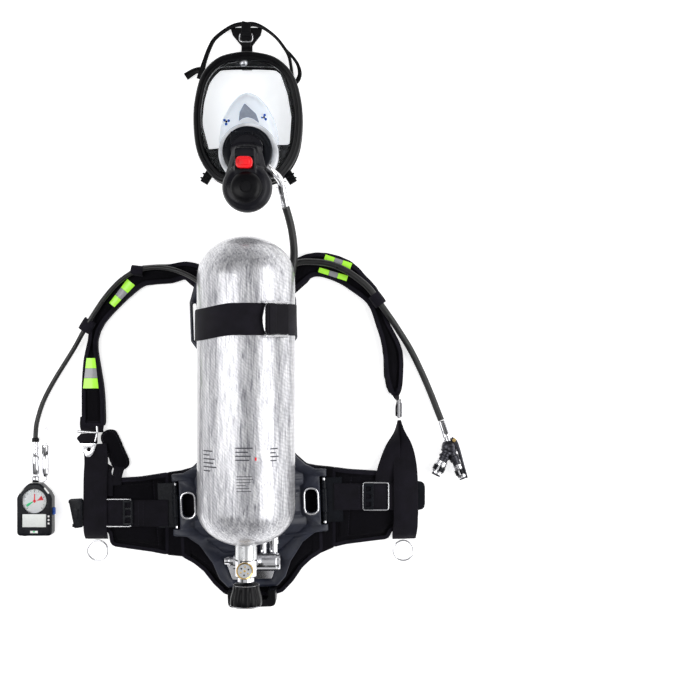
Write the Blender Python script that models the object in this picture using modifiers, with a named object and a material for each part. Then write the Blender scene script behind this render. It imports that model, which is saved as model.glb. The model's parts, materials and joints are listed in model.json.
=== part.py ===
"""Self-contained breathing apparatus for firefighting: cylinder, valve, reducer, back plate,
harness, full-face mask with demand valve, gauge console and second-user coupling.

It lies on its back padding, wearer side down: +Y runs up the wearer's back, +X to the right,
+Z away from the wearer. The origin is on the resting plane, under the middle of the back plate.
Sizes in this file are millimetres; the helpers turn them into Blender's metres.
"""

import math

import bmesh
import bpy
from mathutils import Matrix, Vector

MM = 0.001
GAP = 0.35  # left between pieces that touch

# Driving dimensions
CYLINDER_R = 79.0
CYLINDER_Z = 117.0
CYLINDER_TOP = 312.0
SHOULDER_TOP = 244.0
SHOULDER_BOTTOM = -127.0
CYLINDER_BOTTOM = -186.0
WRAP_WALL = 5.0
LINER_WALL = 3.6
TURN_STEPS = 28
NECK_R = 17.7
NECK_END = -209.0
VALVE_Y = -224.0
WHEEL_END = -286.0

PAD_TOP = 15.9
PLATE_LOW = 16.3
PLATE_TOP = 28.0
PLATE_TWIST = math.radians(2.0)  # the plate lies slightly askew under the cylinder
PLATE_PIVOT_Y = -180.0
HINGE_X = 126.0
HINGE_Z = 22.0

BAND_Y = 176.0
BAND_WIDTH = 50.0
BAND_THICK = 2.4
BAND_SLOT_X = 82.0
BUCKLE_TILT = math.radians(38.0)

REDUCER_Z = 55.0
OUTLET_Z = 47.0
FERRULE_END = -176.0
GAUGE_OUTLET_X = -14.0
BUDDY_OUTLET_X = 23.0
MASK_OUTLET_X = 40.0
GAUGE_HOSE_D = 8.0
BUDDY_HOSE_D = 11.0
MASK_HOSE_D = 13.0

MASK_X, MASK_Y = -4.0, 511.0
MASK_RIM_Z = 60.0
MASK_DROP = 24.0  # how far the sides of the mask lie behind its middle
VISOR_RISE = 24.0  # how far the middle of the visor stands over its edge
VISOR_WALL = 2.4
PORT_X, PORT_Y = 0.6, 452.0
BULB_X, BULB_Y = 2.0, 390.0

CONSOLE_X, CONSOLE_Y = -367.0, -140.0
DIAL_Y = -128.0
COUPLING_Z = 13.4

WEBBING_LOW = 19.0
WEBBING_THICK = 2.2

for old in list(bpy.data.objects):
    bpy.data.objects.remove(old, do_unlink=True)


def collection(name):
    made = bpy.data.collections.new(name)
    bpy.context.scene.collection.children.link(made)
    return made


PARTS = collection("breathing_apparatus")
CUTTERS = collection("cutters")
CUTTERS.hide_render = True


# ---------------------------------------------------------------- materials


def material(name, colour, roughness, metallic=0.0):
    made = bpy.data.materials.new(name)
    made.use_nodes = True
    shader = made.node_tree.nodes["Principled BSDF"]
    shader.inputs["Base Color"].default_value = (*colour, 1.0)
    shader.inputs["Roughness"].default_value = roughness
    shader.inputs["Metallic"].default_value = metallic
    return made


COMPOSITE = material("composite_wrap", (0.50, 0.51, 0.53), 0.35)
ALUMINIUM = material("aluminium", (0.78, 0.79, 0.80), 0.35, 1.0)
CHROME = material("chrome", (0.85, 0.86, 0.88), 0.12, 1.0)
STEEL = material("steel", (0.70, 0.71, 0.73), 0.30, 1.0)
BRASS = material("brass", (0.72, 0.56, 0.30), 0.30, 1.0)
RUBBER = material("rubber", (0.02, 0.02, 0.022), 0.65)
HOSE_RUBBER = material("hose_rubber", (0.018, 0.018, 0.02), 0.5)
PLASTIC = material("moulded_plastic", (0.035, 0.045, 0.065), 0.45)
BLACK_PLASTIC = material("black_plastic", (0.02, 0.02, 0.022), 0.35)
FABRIC = material("padded_fabric", (0.02, 0.022, 0.026), 0.9)
WEBBING = material("webbing", (0.018, 0.018, 0.02), 0.85)
CLEAR = material("clear_visor", (0.85, 0.90, 0.95), 0.05)
CUP_RUBBER = material("cup_rubber", (0.55, 0.60, 0.66), 0.4)
BLUE = material("blue_plastic", (0.04, 0.20, 0.55), 0.4)
RED = material("red_plastic", (0.70, 0.03, 0.03), 0.35)
WHITE = material("white_dial", (0.90, 0.90, 0.88), 0.5)


# ---------------------------------------------------------------- outlines and paths


def rounded(corners, radius, steps=3):
    """The outline with each corner turned into an arc; radius is one number, or one for each corner."""
    count = len(corners)
    radii = radius if isinstance(radius, (list, tuple)) else [radius] * count
    outline = []
    for i, corner in enumerate(corners):
        here = Vector(corner)
        back = Vector(corners[i - 1]) - here
        ahead = Vector(corners[(i + 1) % count]) - here
        half = back.angle(ahead) / 2
        setback = min(radii[i] / math.tan(half), back.length * 0.49, ahead.length * 0.49)
        if radii[i] <= 0 or half > math.radians(86):
            outline.append(tuple(here))
            continue
        start = here + back.normalized() * setback
        end = here + ahead.normalized() * setback
        for k in range(steps + 1):
            t = k / steps
            outline.append(tuple(start.lerp(here, t).lerp(here.lerp(end, t), t)))
    return outline


def mirrored(half):
    """A closed outline from its right half, which runs from the bottom middle to the top middle."""
    return list(half) + [(-x, y) for x, y in reversed(half) if x > 0]


def ellipse(x, y, rx, ry, steps=20):
    turns = (2 * math.pi * k / steps for k in range(steps))
    return [(x + rx * math.cos(t), y + ry * math.sin(t)) for t in turns]


def slot(x, y, width, height, steps=3):
    w, h = width / 2, height / 2
    corners = [(x - w, y - h), (x + w, y - h), (x + w, y + h), (x - w, y + h)]
    return rounded(corners, min(w, h) * 0.98, steps)


def smooth(points, per_span):
    """Points on a Catmull-Rom curve through the given points; each may have any number of values."""
    found = []
    count = len(points)
    for i in range(count - 1):
        a = points[max(i - 1, 0)]
        b = points[i]
        c = points[i + 1]
        d = points[min(i + 2, count - 1)]
        for k in range(per_span):
            t = k / per_span
            found.append(
                tuple(
                    0.5 * (2 * q + (r - p) * t + (2 * p - 5 * q + 4 * r - s) * t * t
                           + (3 * q - p - 3 * r + s) * t ** 3)
                    for p, q, r, s in zip(a, b, c, d)
                )
            )
    return found + [tuple(points[-1])]


def evenly(points, spacing):
    """The same path with its points about one spacing apart."""
    path = [Vector(p) for p in points]
    total = sum((b - a).length for a, b in zip(path, path[1:]))
    steps = max(2, round(total / spacing))
    found = [path[0]]
    done = 0.0
    for a, b in zip(path, path[1:]):
        span = (b - a).length
        while len(found) < steps and done + span >= total * len(found) / steps:
            found.append(a.lerp(b, (total * len(found) / steps - done) / span))
        done += span
    return found + [path[-1]]


def strap_outline(stations, per_span=3):
    """A closed outline round a curved strip, from stations of x, y and width along its middle."""
    path = smooth(stations, per_span)
    left, right = [], []
    for i, (x, y, width) in enumerate(path):
        before = Vector(path[max(i - 1, 0)][:2])
        after = Vector(path[min(i + 1, len(path) - 1)][:2])
        along = (after - before).normalized()
        side = Vector((-along.y, along.x)) * (width / 2)
        left.append((x + side.x, y + side.y))
        right.append((x - side.x, y - side.y))
    return right + left[::-1]


def dome(radius, neck, shoulder, end, steps):
    """Points of a turned elliptic dome, from its shoulder at full radius to its end at the neck."""
    last = math.acos(neck / radius)
    height = (end - shoulder) / math.sin(last)
    turns = (last * k / steps for k in range(steps + 1))
    return [(radius * math.cos(t), shoulder + height * math.sin(t)) for t in turns]


# ---------------------------------------------------------------- making objects


def add(name, data, mat, parent=None, at=(0, 0, 0)):
    obj = bpy.data.objects.new(name, data)
    PARTS.objects.link(obj)
    data.materials.clear()
    data.materials.append(mat)
    obj.location = Vector(at) * MM
    obj.parent = parent
    return obj


def empty(name, at, rotation=(0, 0, 0), parent=None):
    obj = bpy.data.objects.new(name, None)
    PARTS.objects.link(obj)
    obj.location = Vector(at) * MM
    obj.rotation_euler = rotation
    obj.parent = parent
    return obj


def shade(mesh, angle=35):
    mesh.shade_smooth()
    mesh.set_sharp_from_angle(angle=math.radians(angle))


def frozen(obj):
    """The object with its curve or modifiers turned into a plain welded mesh."""
    bpy.context.view_layer.update()
    graph = bpy.context.evaluated_depsgraph_get()
    mesh = bpy.data.meshes.new_from_object(obj.evaluated_get(graph))
    bm = bmesh.new()
    bm.from_mesh(mesh)
    bmesh.ops.remove_doubles(bm, verts=bm.verts, dist=1e-6)
    bmesh.ops.recalc_face_normals(bm, faces=bm.faces)
    bm.to_mesh(mesh)
    bm.free()
    made = bpy.data.objects.new("frozen", mesh)
    PARTS.objects.link(made)
    made.parent = obj.parent
    made.matrix_local = obj.matrix_local.copy()
    name = obj.name
    bpy.data.objects.remove(obj)
    made.name = name
    shade(mesh)
    return made


def plate(name, outlines, low, high, mat, edge=0.8, parent=None, at=(0, 0, 0)):
    """A flat piece: the first outline is its edge, and any more are holes in it."""
    curve = bpy.data.curves.new(name, "CURVE")
    curve.dimensions = "2D"
    curve.fill_mode = "BOTH"
    curve.extrude = ((high - low) / 2 - edge) * MM
    curve.bevel_depth = edge * MM
    curve.bevel_resolution = 0
    curve.offset = -edge * MM
    for outline in outlines:
        spline = curve.splines.new("POLY")
        spline.points.add(len(outline) - 1)
        spline.use_cyclic_u = True
        for point, (x, y) in zip(spline.points, outline):
            point.co = (x * MM, y * MM, 0, 1)
    made = add(name, curve, mat, parent, (at[0], at[1], at[2] + (low + high) / 2))
    return frozen(made)


def box(name, size, mat, at, bevel=1.0, segments=1, parent=None, rotation=(0, 0, 0)):
    """A block of the given size about its middle, with its edges rounded off."""
    bm = bmesh.new()
    bmesh.ops.create_cube(bm, size=1.0)
    bmesh.ops.scale(bm, verts=bm.verts, vec=Vector(size) * MM)
    mesh = bpy.data.meshes.new(name)
    bm.to_mesh(mesh)
    bm.free()
    made = add(name, mesh, mat, parent, at)
    made.rotation_euler = rotation
    if bevel:
        edges = made.modifiers.new("Edges", "BEVEL")
        edges.width = bevel * MM
        edges.segments = segments
    shade(mesh)
    return made


def turned(name, profile, mat, at=(0, 0, 0), along=(0, 0, 1), steps=24, closed=False, parent=None):
    """A shape turned about a line; the profile holds radius and height, outer side top to bottom."""
    mesh = bpy.data.meshes.new(name)
    edges = [(i, i + 1) for i in range(len(profile) - 1)]
    if closed:
        edges.append((len(profile) - 1, 0))
    mesh.from_pydata([(r * MM, 0, h * MM) for r, h in profile], edges, [])
    made = add(name, mesh, mat, parent, at)
    made.rotation_mode = "QUATERNION"
    made.rotation_quaternion = Vector((0, 0, 1)).rotation_difference(Vector(along))
    screw = made.modifiers.new("Turn", "SCREW")
    screw.axis = "Z"
    screw.steps = steps
    screw.render_steps = steps
    screw.use_merge_vertices = True
    screw.merge_threshold = 0.00005
    return frozen(made)


def rod(name, radius, start, end, mat, steps=20, chamfer=0.6, parent=None):
    """A round bar between two points."""
    start, end = Vector(start), Vector(end)
    length = (end - start).length
    profile = [(0, length), (radius - chamfer, length), (radius, length - chamfer),
               (radius, chamfer), (radius - chamfer, 0), (0, 0)]
    return turned(name, profile, mat, start, end - start, steps, parent=parent)


def loft(name, sections, mat, ring=False, parent=None):
    """A skin over sections of equal point counts; a ring joins the last to the first."""
    bm = bmesh.new()
    rows = [[bm.verts.new(Vector(p) * MM) for p in section] for section in sections]
    count = len(rows[0])
    pairs = list(zip(rows, rows[1:] + rows[:1] if ring else rows[1:]))
    for first, second in pairs:
        for i in range(count):
            j = (i + 1) % count
            bm.faces.new((first[i], first[j], second[j], second[i]))
    if not ring:
        bm.faces.new(rows[0][::-1])
        bm.faces.new(rows[-1])
    bmesh.ops.recalc_face_normals(bm, faces=bm.faces)
    mesh = bpy.data.meshes.new(name)
    bm.to_mesh(mesh)
    bm.free()
    shade(mesh)
    return add(name, mesh, mat, parent)


def ribbon(name, stations, thick, mat, parent=None, per_span=4):
    """Webbing: each station gives a point on its middle, its width, and its turn from flat in degrees."""
    path = smooth(stations, per_span)
    sections = []
    for i, (x, y, z, width, turn) in enumerate(path):
        before = Vector(path[max(i - 1, 0)][:3])
        after = Vector(path[min(i + 1, len(path) - 1)][:3])
        along = (after - before).normalized()
        flat = along.cross(Vector((0, 0, 1)))
        flat = flat.normalized() if flat.length > 0.05 else Vector((1, 0, 0))
        side = Matrix.Rotation(math.radians(turn), 3, along) @ flat
        face = side.cross(along)
        middle = Vector((x, y, z))
        corners = ((-1, -1), (1, -1), (1, 1), (-1, 1))
        sections.append([middle + side * (a * width / 2) + face * (b * thick / 2) for a, b in corners])
    return loft(name, sections, mat, parent=parent)


def hose(name, route, diameter):
    """A rubber hose on one smooth curve through its route points."""
    curved = smooth(route, 8)
    path = evenly(curved, diameter * 2.4)
    # A short straight stretch at each end keeps its cut face square to the fitting.
    path.insert(1, path[0] + (Vector(curved[1]) - path[0]).normalized() * 2)
    path.insert(-1, path[-1] + (Vector(curved[-2]) - path[-1]).normalized() * 2)
    curve = bpy.data.curves.new(name, "CURVE")
    curve.dimensions = "3D"
    curve.bevel_depth = diameter / 2 * MM
    curve.bevel_resolution = 2
    curve.use_fill_caps = True
    spline = curve.splines.new("POLY")
    spline.points.add(len(path) - 1)
    for point, place in zip(spline.points, path):
        point.co = (*(place * MM), 1)
    return add(name, curve, HOSE_RUBBER)


def combine(target, operation, *tools):
    """Joins the tools to the target with UNION, or cuts them out of it with DIFFERENCE."""
    for tool in tools:
        step = target.modifiers.new(operation.title(), "BOOLEAN")
        step.operation = operation
        step.object = tool
        tool.hide_render = True
        tool.display_type = "WIRE"
        PARTS.objects.unlink(tool)
        CUTTERS.objects.link(tool)
    return target


# ---------------------------------------------------------------- cylinder and its valve


def make_cylinder():
    axis = (0, 0, CYLINDER_Z)
    inner = CYLINDER_R - WRAP_WALL
    top = dome(CYLINDER_R, 0.001, SHOULDER_TOP, CYLINDER_TOP, 5)[::-1]
    bottom = dome(CYLINDER_R, NECK_R + 0.5, SHOULDER_BOTTOM, CYLINDER_BOTTOM, 5)
    inner_bottom = dome(inner, NECK_R + 0.5, SHOULDER_BOTTOM, CYLINDER_BOTTOM + WRAP_WALL, 4)[::-1]
    inner_top = dome(inner, 0.001, SHOULDER_TOP, CYLINDER_TOP - WRAP_WALL, 4)
    turned("cylinder_wrap", top + bottom + inner_bottom + inner_top, COMPOSITE, axis, (0, 1, 0), TURN_STEPS)

    outside = inner - 0.45
    bore = outside - LINER_WALL
    top = dome(outside, 0.001, SHOULDER_TOP, CYLINDER_TOP - WRAP_WALL - 0.6, 4)[::-1]
    bottom = dome(outside, NECK_R, SHOULDER_BOTTOM, CYLINDER_BOTTOM + WRAP_WALL + 0.7, 4)
    neck = [(NECK_R, NECK_END), (9.2, NECK_END), (9.2, CYLINDER_BOTTOM + 9)]
    inner_bottom = dome(bore, 14.0, SHOULDER_BOTTOM, CYLINDER_BOTTOM + 10, 3)[::-1]
    inner_top = dome(bore, 0.001, SHOULDER_TOP, CYLINDER_TOP - WRAP_WALL - 4.5, 3)
    profile = top + bottom + neck + inner_bottom + inner_top
    turned("cylinder_liner", profile, ALUMINIUM, axis, (0, 1, 0), TURN_STEPS)


def make_valve():
    axis = (0, 0, CYLINDER_Z)
    body = [(0, -180), (8.7, -180), (8.7, NECK_END - GAP), (16.5, NECK_END - GAP), (17.5, -211.5),
            (17.5, -236), (13.5, -239), (13.5, -245), (0, -245)]
    valve = turned("valve_body", body, CHROME, axis, (0, 1, 0), 24)
    gauge_boss = rod("gauge_boss", 13, (0, VALVE_Y, CYLINDER_Z), (0, VALVE_Y, 139.6), CHROME)
    outlet = rod("outlet_boss", 11, (0, VALVE_Y, CYLINDER_Z), (0, VALVE_Y, 88), CHROME)
    combine(valve, "UNION", gauge_boss, outlet)
    face = [(0, 3.2), (10.4, 3.2), (11, 2.4), (13.5, 2.4), (13.5, 0), (0, 0)]
    turned("valve_gauge", face, BRASS, (0, VALVE_Y, 139.6 + GAP))

    grip = [(0, -245.4), (4.5, -245.4), (4.5, -249), (19.5, -249), (21, -251), (21.5, -258),
            (24, -266), (26, -276), (26, -282), (23, WHEEL_END), (0, WHEEL_END)]
    wheel = turned("valve_handwheel", grip, RUBBER, axis, (0, 1, 0), 40)
    for k in range(10):
        turn = 2 * math.pi * k / 10
        x, z = 32 * math.cos(turn), CYLINDER_Z + 32 * math.sin(turn)
        combine(wheel, "DIFFERENCE", rod(f"flute_{k}", 8, (x, -240, z), (x, -300, z), RUBBER, 12))


def make_reducer():
    place = (0, VALVE_Y, REDUCER_Z)
    barrel = [(0, 52), (12.5, 52), (14, 50.5), (14, 46), (16, 45), (16, -20), (13, -21), (13, -26),
              (0, -26)]
    reducer = turned("pressure_reducer", barrel, CHROME, place, (1, 0, 0), 24)
    stem = rod("inlet_stem", 8.5, place, (0, VALVE_Y, 87.5), CHROME)
    tools = [stem]
    for x, radius in ((GAUGE_OUTLET_X, 6.4), (BUDDY_OUTLET_X, 7.6), (MASK_OUTLET_X, 8.6)):
        sleeve = FERRULE_END - VALVE_Y
        outlet = [(0, sleeve), (radius - 1.2, sleeve), (radius - 0.6, sleeve - 1), (radius - 0.6, 35.5),
                  (radius, 35), (radius, 28.6), (radius - 1.6, 28), (radius - 1.6, 0), (0, 0)]
        tools.append(turned("outlet", outlet, CHROME, (x, VALVE_Y, OUTLET_Z), (0, 1, 0), 14))
    tools.append(box("foot", (26, 22, 12), CHROME, (12, VALVE_Y, 38), 0.8))
    cap = [(0, 15), (5, 15), (5.5, 14), (5.5, 8), (7.5, 7), (7.5, -4), (0, -4)]
    tools.append(turned("safety_valve", cap, BRASS, (-26, VALVE_Y, REDUCER_Z), (-1, 0, 0), 12))
    combine(reducer, "UNION", *tools)
    nut = [(11.4, 94), (15, 94), (16, 92.5), (16, 73.5), (15, 72), (8.9, 72), (8.9, 87.8), (11.4, 87.8)]
    turned("coupling_nut", nut, CHROME, (0, VALVE_Y, 0), (0, 0, 1), 12, closed=True)


def make_band():
    """Webbing from one slot of the plate, over the cylinder, to the other slot."""
    frame = empty("band_frame", (0, BAND_Y, 0))
    radius = CYLINDER_R + GAP + BAND_THICK / 2 + 0.2
    shift = math.sin(PLATE_TWIST) * (BAND_Y - PLATE_PIVOT_Y)
    feet = [(BAND_SLOT_X - shift, PLATE_TOP - 7), (-BAND_SLOT_X - shift, PLATE_TOP - 7)]
    turns = []
    for side, (x, z) in zip((1, -1), feet):
        away = Vector((x, z - CYLINDER_Z))
        turns.append(math.atan2(away.y, away.x) % (2 * math.pi) + side * math.acos(radius / away.length))
    start, end = turns[0] - 2 * math.pi, turns[1]
    steps = 22
    arc = [start + (end - start) * k / steps for k in range(steps + 1)]
    path = [(radius * math.cos(t), CYLINDER_Z + radius * math.sin(t)) for t in arc]
    path = [feet[0], *path, feet[1]]
    sections = []
    for i, (x, z) in enumerate(path):
        before = Vector(path[max(i - 1, 0)])
        after = Vector(path[min(i + 1, len(path) - 1)])
        along = (after - before).normalized()
        out = Vector((along.y, -along.x)) * (BAND_THICK / 2)
        half = BAND_WIDTH / 2
        sections.append([(x - out.x, -half, z - out.y), (x + out.x, -half, z + out.y),
                         (x + out.x, half, z + out.y), (x - out.x, half, z - out.y)])
    loft("cylinder_band", sections, WEBBING, parent=frame)

    seat = radius + BAND_THICK / 2 + 0.5
    mount = empty("buckle_mount", (0, 0, CYLINDER_Z), (0, BUCKLE_TILT, 0), frame)
    window = [slot(0, 0, 48, 58), slot(10, 0, 20, 46)]
    buckle = plate("band_buckle", window, seat, seat + 3, STEEL, 0.6, mount)
    bars = [rod("bar", 2.6, (-22, y, seat + 3.4), (22, y, seat + 3.4), STEEL, 10) for y in (-26, 26)]
    for bar in bars:
        bar.parent = mount
    combine(buckle, "UNION", *bars)
    pivot = empty("lever_pivot", (-17, 0, seat + 5.6), parent=mount)
    lever = box("band_lever", (37, 45, 2.6), BLACK_PLASTIC, (18, 0, 0), 1.0, 2, pivot)
    knuckle = rod("knuckle", 2.2, (0, -20, 0), (0, 20, 0), BLACK_PLASTIC, 12)
    knuckle.parent = pivot
    combine(lever, "UNION", knuckle)


# ---------------------------------------------------------------- back plate


def plate_frame():
    """The askew frame of the back plate, turned about a point near its hips."""
    pivot = Vector((0, PLATE_PIVOT_Y, 0))
    turned_pivot = Matrix.Rotation(PLATE_TWIST, 3, "Z") @ pivot
    return empty("plate_frame", pivot - turned_pivot, (0, 0, PLATE_TWIST))


def make_back_plate(frame):
    half = [(30, -273), (42, -272), (56, -257), (66, -231), (88, -199), (108, -184.5), (131, -182),
            (131, -170.5), (119.2, -171.5), (119.2, -89.5), (131, -90.5), (131, -78), (112, -77),
            (96, -69), (80, -54), (75, -34), (74, 60), (76, 126), (90, 146), (90, 212), (80, 244),
            (50, 256)]
    radii = [6] * 6 + [1.6] * 6 + [6] * 10
    holes = [slot(side * 104, -131, 19, 39) for side in (-1, 1)]
    holes += [slot(side * BAND_SLOT_X, BAND_Y + 2, 7, 64) for side in (-1, 1)]
    edge = rounded(mirrored(half), radii + radii[::-1], 2)
    back = plate("back_plate", [edge] + holes, PLATE_LOW, PLATE_TOP, PLASTIC, 1.2, frame)
    for low, high in ((-84, -32), (150, 204)):
        rim = CYLINDER_R + 0.4
        arc = [math.radians(-63 - 54 * k / 8) for k in range(9)]
        hollow = [(rim * math.cos(t), CYLINDER_Z + rim * math.sin(t)) for t in arc]
        side = rim * math.cos(arc[0])
        low_z = PLATE_TOP - 2
        outline = [*hollow, (-side, low_z + 1), (-side + 1, low_z), (side - 1, low_z), (side, low_z + 1)]
        sections = [[(x, y, z) for x, z in outline] for y in (low, high)]
        combine(back, "UNION", loft("cradle", sections, PLASTIC))

    for side, name in ((-1, "left"), (1, "right")):
        eyelet = [slot(side * 104, -131, 28, 48, 5), slot(side * 104, -131, 19, 39, 5)]
        plate(f"carry_ring_{name}", eyelet, PLATE_TOP + GAP, PLATE_TOP + 4, CHROME, 1.2, frame)
        ends = ((side * HINGE_X, -170.2 + GAP, HINGE_Z), (side * HINGE_X, -90.8 - GAP, HINGE_Z))
        rod(f"hinge_pin_{name}", 3, *ends, CHROME, 14, parent=frame)

    front = rounded([(-40, -301), (40, -301), (40, -274), (27, -274), (27, -289), (-27, -289),
                     (-27, -274), (-40, -274)], [9, 9, 2, 2, 4, 4, 2, 2])
    plate("base_bumper", [front], PLATE_LOW, 56, RUBBER, 1.6, frame)
    bracket = rounded([(33, -259), (46, -220), (-46, -220), (-33, -259)], 5)
    hole = ellipse(-31, -230, 3.5, 3.5, 12)
    plate("reducer_bracket", [bracket, hole], PLATE_TOP + GAP, PLATE_TOP + 3.6, STEEL, 0.5, frame)


# ---------------------------------------------------------------- padding and straps


def make_padding(frame):
    lumbar = [(30, -291), (50, -286), (68, -268), (84, -246), (100, -232), (122, -219), (122, -74),
              (98, -69), (80, -52), (66, -30), (58, -10), (54, 120), (50, 250)]
    plate("back_pad", [rounded(mirrored(lumbar), 10, 2)], 0, PAD_TOP, FABRIC, 2.5, frame)
    left = [(-73, 243, 34), (-92, 256, 35), (-114, 264, 30), (-138, 258, 32), (-184, 255, 34),
            (-210, 239, 34), (-237, 212, 31), (-262, 179, 25), (-270.5, 145, 16), (-273, 112, 26),
            (-271, 70, 36), (-269.7, 36, 39), (-269.7, -3, 39)]
    plate("shoulder_pad_left", [strap_outline(left, 2)], 0.3, PAD_TOP, FABRIC, 2.2)
    right = [(54, 236, 36), (76, 258, 42), (98, 272, 40), (125, 273, 41), (159, 261, 42), (182, 242, 35),
             (202, 224, 30), (213, 203, 22), (222, 176, 22), (232, 152, 26), (241, 123, 33),
             (243, 85, 30), (245, 62, 22), (245.5, 50, 12)]
    plate("shoulder_pad_right", [strap_outline(right, 2)], 0.3, PAD_TOP, FABRIC, 2.2)


def make_hip_wing(frame, side, name, pad, belt_y, belt_end):
    """One hip wing: the pad outside the hinge pin, its hinge leaf and the waist webbing on it."""
    radii = [3] + [12] * (len(pad) - 2) + [3]
    plate(f"hip_pad_{name}", [rounded(pad, radii, 3)], 0, PAD_TOP, FABRIC, 2.5)
    low = PLATE_LOW + 0.9
    leaf = box(f"hinge_leaf_{name}", (30, 76, 1.8), BLACK_PLASTIC, (side * 142, -131, low), 0.5, 1, frame)
    pin = side * HINGE_X
    knuckle = rod("knuckle", 5.6, (pin, -151, HINGE_Z), (pin, -111, HINGE_Z), BLACK_PLASTIC, 16)
    knuckle.parent = frame
    arm = box("arm", (14, 40, 1.8), BLACK_PLASTIC, (side * 132, -131, low), 0, 1, frame)
    bore = rod("bore", 3.5, (pin, -170, HINGE_Z), (pin, -90, HINGE_Z), BLACK_PLASTIC, 16, 0.1)
    bore.parent = frame
    combine(leaf, "UNION", arm, knuckle)
    combine(leaf, "DIFFERENCE", bore)

    middle = WEBBING_LOW + WEBBING_THICK / 2
    stations = [(side * 140, belt_y, middle, 45, 0), (side * 210, belt_y, middle, 45, 0),
                (side * (belt_end - 24), belt_y, middle, 45, 0)]
    ribbon(f"waist_webbing_{name}", stations, WEBBING_THICK, WEBBING, per_span=2)


def make_hips(frame):
    left = [(-139, -80), (-158, -83), (-190, -88), (-256, -92), (-286, -108), (-287, -158),
            (-272, -176), (-243, -180), (-241, -206), (-169, -216), (-139, -222)]
    right = [(136, -209), (160, -203), (215, -196), (235, -194), (239, -178), (268, -176),
             (284, -160), (284, -110), (262, -86), (214, -78), (166, -75), (136, -71)]
    make_hip_wing(frame, -1, "left", left, -149, 308)
    make_hip_wing(frame, 1, "right", right, -121, 294)
    low = PAD_TOP + GAP
    socket = plate("belt_socket", [slot(-297, -149, 25, 50)], low, low + 10, BLACK_PLASTIC, 1.5)
    mouth = box("mouth", (30, 34, 5), BLACK_PLASTIC, (-314, -149, low + 5), 0)
    combine(socket, "DIFFERENCE", mouth)
    plate("belt_tongue", [slot(284, -119, 22, 49)], low, low + 5, BLACK_PLASTIC, 1.2)


def make_ring(name, x, y):
    """A round pull ring lying flat; its joint is on the far side of the wire."""
    bpy.ops.mesh.primitive_torus_add(major_radius=17 * MM, minor_radius=2 * MM, major_segments=20,
                                     minor_segments=6, location=(x * MM, y * MM, 2.6 * MM))
    ring = bpy.context.object
    for holder in list(ring.users_collection):
        holder.objects.unlink(ring)
    PARTS.objects.link(ring)
    ring.name = name
    ring.data.materials.append(CHROME)
    ring.data.shade_smooth()


def make_straps():
    """Adjusters, their cam levers, the webbing to the hips and the pull tails with their rings."""
    left_frame = slot(-270, -16, 46, 20)
    bars = [slot(-270, -12, 38, 4), slot(-270, -20, 38, 4)]
    plate("strap_adjuster_left", [left_frame] + bars, 9, 13, STEEL, 0.7)
    box("adjuster_lever_left", (30, 24, 2), STEEL, (-276, -42, 16.4), 0.8, 1)
    tail = [(-264, -30, 12, 40, 0), (-264, -62, 14, 40, 0), (-264, -88, 22.6, 40, 0),
            (-264, -130, 23.4, 40, 0), (-264, -168, 23.4, 40, 0), (-264, -184, 18, 40, 0),
            (-264, -194, 10, 40, 0)]
    ribbon("pull_strap_left", tail, WEBBING_THICK, WEBBING, per_span=3)
    make_ring("pull_ring_left", -264, -215)

    box("strap_adjuster_right", (5, 30, 30), STEEL, (250, 28, 17), 1.0, 1)
    box("adjuster_lever_right", (2, 24, 26), STEEL, (255, 27, 17), 0.8, 1)
    tail = [(250, 10, 17, 26, 80), (252, -16, 18, 30, 60), (256, -50, 20, 36, 20), (259, -84, 23.2, 40, 0),
            (259, -130, 23.4, 40, 0), (259, -168, 23.4, 40, 0), (259, -184, 18, 40, 0),
            (259, -194, 10, 40, 0)]
    ribbon("pull_strap_right", tail, WEBBING_THICK, WEBBING, per_span=3)
    make_ring("pull_ring_right", 259, -215)
    pouch = slot(0, 0, 33, 76, 4)
    holster = plate("coupling_holster", [pouch], -4.2, 4, FABRIC, 2, at=(-234, -43, 4.6))
    holster.rotation_euler = (0, 0, math.radians(23.6))


# ---------------------------------------------------------------- mask


def mask_outline(inset, per_span=2):
    """The closed outline of the mask's rim, drawn in by an inset."""
    half = [(0, -108), (45, -101), (68, -80), (84, -48), (90, -6), (88, 36), (75, 78), (45, 104), (0, 112)]
    right = smooth(half, per_span)
    ring = right + [(-x, y) for x, y in reversed(right) if x > 0.01]
    return [(MASK_X + x * (1 - inset / 90), MASK_Y + y * (1 - inset / 110)) for x, y in ring]


def on_mask(outline, z):
    """The outline at a height, bent back towards the sides of the face."""
    return [(x, y, z - MASK_DROP * ((x - MASK_X) / 90) ** 2) for x, y in outline]


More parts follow.
